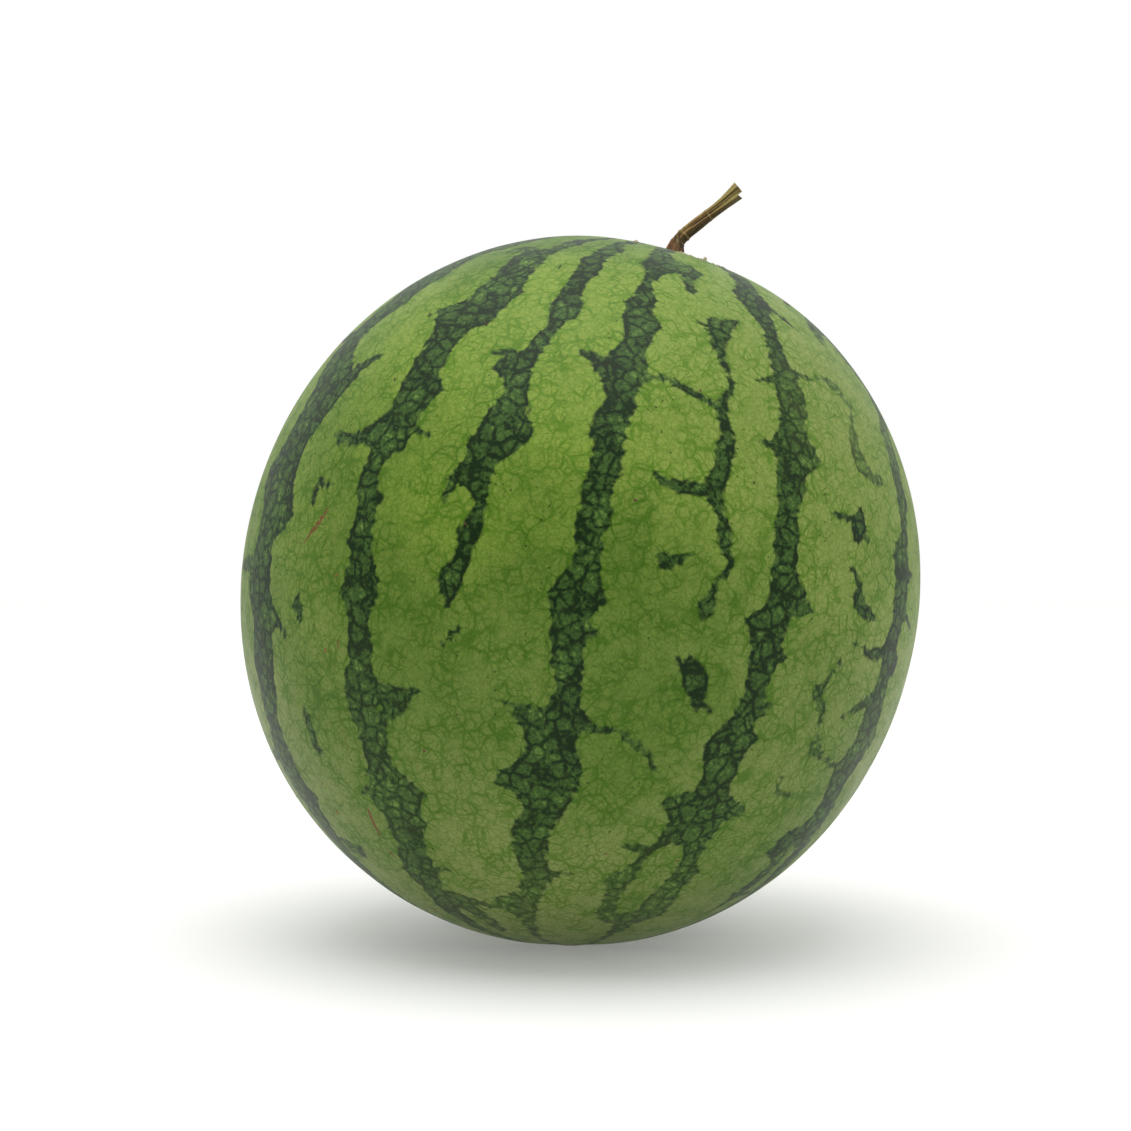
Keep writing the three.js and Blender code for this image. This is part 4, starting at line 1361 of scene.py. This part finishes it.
def make_stem(foot):
    """The stem piece, with foot the stem end of the rind in millimetres."""
    line = stem_middle_line() + np.array(foot)
    share = np.linspace(0, 1, len(line))
    thickness = np.interp(share, np.linspace(0, 1, len(STEM_RADII)), STEM_RADII)
    for at, height, width in STEM_KNOTS:
        thickness += height * np.exp(-(((share - at) / width) ** 2))
    start = bpy.data.meshes.new("stem_line")
    start.from_pydata([tuple(point) for point in line], [(i, i + 1) for i in range(len(line) - 1)], [])
    add_field(start, "thickness", thickness)
    stem = grown("stem_dry", stem_tree(stem_material()), STEM_SIZES | split_wedge(line), start)
    stem.data.set_sharp_from_angle(angle=math.radians(SHARP_EDGE))
    return stem


def stem_patterns(tree):
    """What the stem is drawn from: its fields, its ridges, its straight and swirling fibres, and
    blotches."""
    stem = SimpleNamespace()
    for name in ("along", "around", "sunless"):
        setattr(stem, name, put(tree, "ShaderNodeAttribute", out="Fac", attribute_name=name))
    spot = wound_place(tree, stem.along, stem.around, FIBRE_RUN)
    stem.fibres = put(
        tree, "ShaderNodeTexNoise",
        {"Vector": spot, "Scale": FIBRE_FINENESS, "Detail": 3.0, "Roughness": 0.55},
    )
    stem.strands = put(
        tree, "ShaderNodeTexNoise", {"Vector": spot, "Scale": FIBRE_FINENESS, "Detail": 1.0},
    )
    swirl = put(tree, "ShaderNodeMath", (stem.along, SWIRL_TURN, stem.around), operation="MULTIPLY_ADD")
    spot = wound_place(tree, stem.along, swirl, SWIRL_RUN)
    stem.swirls = put(
        tree, "ShaderNodeTexNoise", {"Vector": spot, "Scale": SWIRL_FINENESS, "Detail": 3.0},
    )
    turns = put(tree, "ShaderNodeMath", (stem.around, float(STEM_RIDGES[0])), operation="MULTIPLY")
    stem.ridges = put(tree, "ShaderNodeMath", (turns,), operation="COSINE")
    place = put(tree, "ShaderNodeTexCoord", out="Object")
    fineness = 1 / (STEM_BLOTCHES * MM)
    stem.blotches = put(tree, "ShaderNodeTexNoise", {"Vector": place, "Scale": fineness, "Detail": 2.0})
    return stem


def stem_ring(tree, stem, share):
    """How strongly a pale ring shows, the scar where a leaf or a tendril dropped."""
    away = put(tree, "ShaderNodeMath", (stem.along, share), operation="SUBTRACT")
    away = put(tree, "ShaderNodeMath", (away,), operation="ABSOLUTE")
    away = put(tree, "ShaderNodeMath", (stem.fibres, RING_WAVER, away), operation="MULTIPLY_ADD")
    ring = put(tree, "ShaderNodeMapRange", (away, *RING_EDGE), **SMOOTHLY)
    return put(tree, "ShaderNodeMath", (ring, 0.4), operation="MULTIPLY")


def stem_colour(tree, stem):
    """Brown at the root and paler towards the end, bleached in patches and dark between the fibres. The
    side that faces down and away from the light is darkened with painted shade, and towards the root the
    fibres swirl, with pits between them."""
    middle = put(tree, "ShaderNodeMapRange", (stem.along, *STEM_MIDDLE_FADE), **SMOOTHLY)
    tip = put(tree, "ShaderNodeMapRange", (stem.along, *STEM_TIP_FADE), **SMOOTHLY)
    lit = put(tree, "ShaderNodeMapRange", (stem.blotches, 0.5, 0.75), **SMOOTHLY)
    # painted shade on the side that faces down and away from the light
    underside_shade = put(tree, "ShaderNodeMapRange", (stem.sunless, 0.05, 0.6), **SMOOTHLY)
    underside_shade = put(tree, "ShaderNodeMath", (underside_shade, 0.85), operation="MULTIPLY")
    gap = put(tree, "ShaderNodeMapRange", (stem.fibres, 0.5, 0.36), **SMOOTHLY)
    furrow = put(tree, "ShaderNodeMapRange", (stem.ridges, -0.6, -1.0), **SMOOTHLY)
    furrow = put(tree, "ShaderNodeMath", (furrow, 0.5), operation="MULTIPLY")
    pit = put(tree, "ShaderNodeMapRange", (stem.swirls, 0.53, 0.4), **SMOOTHLY)
    gnarled = put(tree, "ShaderNodeMapRange", (stem.along, *SWIRL_FADE), **SMOOTHLY)
    pit = put(tree, "ShaderNodeMath", (pit, gnarled), operation="MULTIPLY")
    return coated(
        tree, linear(STEM_ROOT), (middle, linear(STEM_MIDDLE)), (tip, linear(STEM_TIP)),
        (lit, linear(STEM_LIT)), (underside_shade, linear(STEM_PAINTED_SHADE)), (gap, linear(STEM_FURROW)),
        (furrow, linear(STEM_FURROW)), (pit, linear(STEM_FURROW)),
        *((stem_ring(tree, stem, share), linear(STEM_LIT)) for share in STEM_RINGS),
    )


def stem_material():
    """Dried vine stem: shrunken bast fibres, matt and stringy, brown at the root, paler at the end
    where the cut has weathered."""
    material, tree = start_material("dried_vine_stem")
    stem = stem_patterns(tree)
    bump = put(
        tree, "ShaderNodeBump", {"Height": stem.strands, "Distance": STRAND_HEIGHT * MM, "Strength": 0.7},
    )
    finish_material(tree, {
        "Base Color": stem_colour(tree, stem),
        "Roughness": 0.8,
        "IOR": 1.5,
        "Normal": bump,
    })
    return material


# ---------------------------------------------------------------- studio

FLOOR_REACH = 1.6  # metres from the fruit to each edge
# the floor's glow is painted fill light, which lifts its shadow and the fruit's underside
FLOOR_PAINTED_GLOW = 0.22  # strength of its own light
SOFT_LIGHTS = [("overhead_softbox", (-0.1, -0.3, 1.7), 1.5, 18.0)]  # place, width and watts
DARK_SIDE = (-0.35, -0.92, 0.15)  # the way to the dark side of the room
DARK_SIDE_FADE = (0.1, 0.95)  # how squarely a direction points there where it starts to dim, and ends
DARK_SIDE_SHARE = 0.42  # brightness of the dark side as a share of the rest
SURROUND = (0.62, 1.2)  # brightness of the surround level with the fruit, and high up
SURROUND_HEIGHTS = (-0.1, 0.7)  # how steeply a direction rises where it has each of them

CAMERA_DISTANCE = 1.0
CAMERA_ELEVATION = 4.0
CAMERA_LENS = 90.05  # millimetres, as is the sensor
CAMERA_SENSOR = 36.0
CAMERA_SHIFT = (-0.01295, 0.0223)


def make_floor():
    """A pale table that glows faintly, as painted fill light."""
    reach = FLOOR_REACH
    corners = [(-reach, -reach, 0), (reach, -reach, 0), (reach, reach, 0), (-reach, reach, 0)]
    floor = bpy.data.objects.new("studio_floor", bpy.data.meshes.new("studio_floor"))
    floor.data.from_pydata(corners, [], [(0, 1, 2, 3)])
    bpy.context.scene.collection.objects.link(floor)
    floor.data.materials.append(glowing_floor_material())


def glowing_floor_material():
    """Frosted acrylic sheet that glows of itself: painted fill light that lifts the shadow under the
    fruit and lights its underside. The table is even and has no gloss.
    """
    material, tree = start_material("floor_with_painted_glow")
    finish_material(tree, {
        "Base Color": linear(FLOOR_ACRYLIC),
        "Roughness": 0.9,
        # painted fill light: the floor glows, though it is no lamp
        "Emission Color": (1, 1, 1, 1),
        "Emission Strength": FLOOR_PAINTED_GLOW,
    })
    return material


def make_surround():
    """A surround that is white to look at. Its light grows with height, and dims towards the dark side
    of the room, where the front faces."""
    world = bpy.data.worlds.new("white_surround")
    world.use_nodes = True
    room = world.node_tree
    room.nodes.clear()
    way = put(room, "ShaderNodeTexCoord", out="Generated")
    facing = put(room, "ShaderNodeVectorMath", (way, DARK_SIDE), out="Value", operation="DOT_PRODUCT")
    glow = put(
        room, "ShaderNodeMapRange", (facing, *DARK_SIDE_FADE, 1.0, DARK_SIDE_SHARE), **SMOOTHLY,
    )
    height = put(room, "ShaderNodeSeparateXYZ", (way,), out="Z")
    height = put(room, "ShaderNodeMapRange", (height, *SURROUND_HEIGHTS, *SURROUND))
    glow = put(room, "ShaderNodeMath", (glow, height), operation="MULTIPLY")
    seen = put(room, "ShaderNodeLightPath", out="Is Camera Ray")
    strength = put(room, "ShaderNodeMix", {0: seen, 2: glow, 3: 1.0})
    background = put(room, "ShaderNodeBackground", {"Color": (1, 1, 1, 1), "Strength": strength})
    put(room, "ShaderNodeOutputWorld", {"Surface": background})
    bpy.context.scene.world = world


def make_lights():
    """Wide soft lights that point at the middle of the fruit."""
    for name, place, size, power in SOFT_LIGHTS:
        light = bpy.data.lights.new(name, "AREA")
        light.shape = "SQUARE"
        light.size = size
        light.energy = power
        lamp = bpy.data.objects.new(name, light)
        lamp.location = place
        towards = Vector((0, 0, MIDDLE_HEIGHT * MM)) - Vector(place)
        lamp.rotation_euler = towards.to_track_quat("-Z", "Y").to_euler()
        bpy.context.scene.collection.objects.link(lamp)


def make_camera():
    """A camera in front of the fruit and a little above it."""
    camera = bpy.data.cameras.new("front_camera")
    camera.lens = CAMERA_LENS
    camera.sensor_width = CAMERA_SENSOR
    camera.shift_x, camera.shift_y = CAMERA_SHIFT
    rig = bpy.data.objects.new("front_camera", camera)
    elevation = math.radians(CAMERA_ELEVATION)
    away = Vector((0, -math.cos(elevation), math.sin(elevation)))
    rig.location = MIDDLE * MM + away * CAMERA_DISTANCE
    rig.rotation_euler = (-away).to_track_quat("-Z", "Y").to_euler()
    bpy.context.scene.collection.objects.link(rig)
    bpy.context.scene.camera = rig


# ---------------------------------------------------------------- assembly

make_camera()
make_floor()
make_surround()
make_lights()
bpy.context.scene.view_settings.view_transform = "Standard"

skin = make_skin()
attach(skin, "root")
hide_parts("fruit")

flecks = make_flecks(skin)
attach(flecks, "root")

foot = skin.ray_cast(MIDDLE * MM, STEM_END)[1]
stem = make_stem(foot / MM)
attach(stem, "root")
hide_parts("stem")
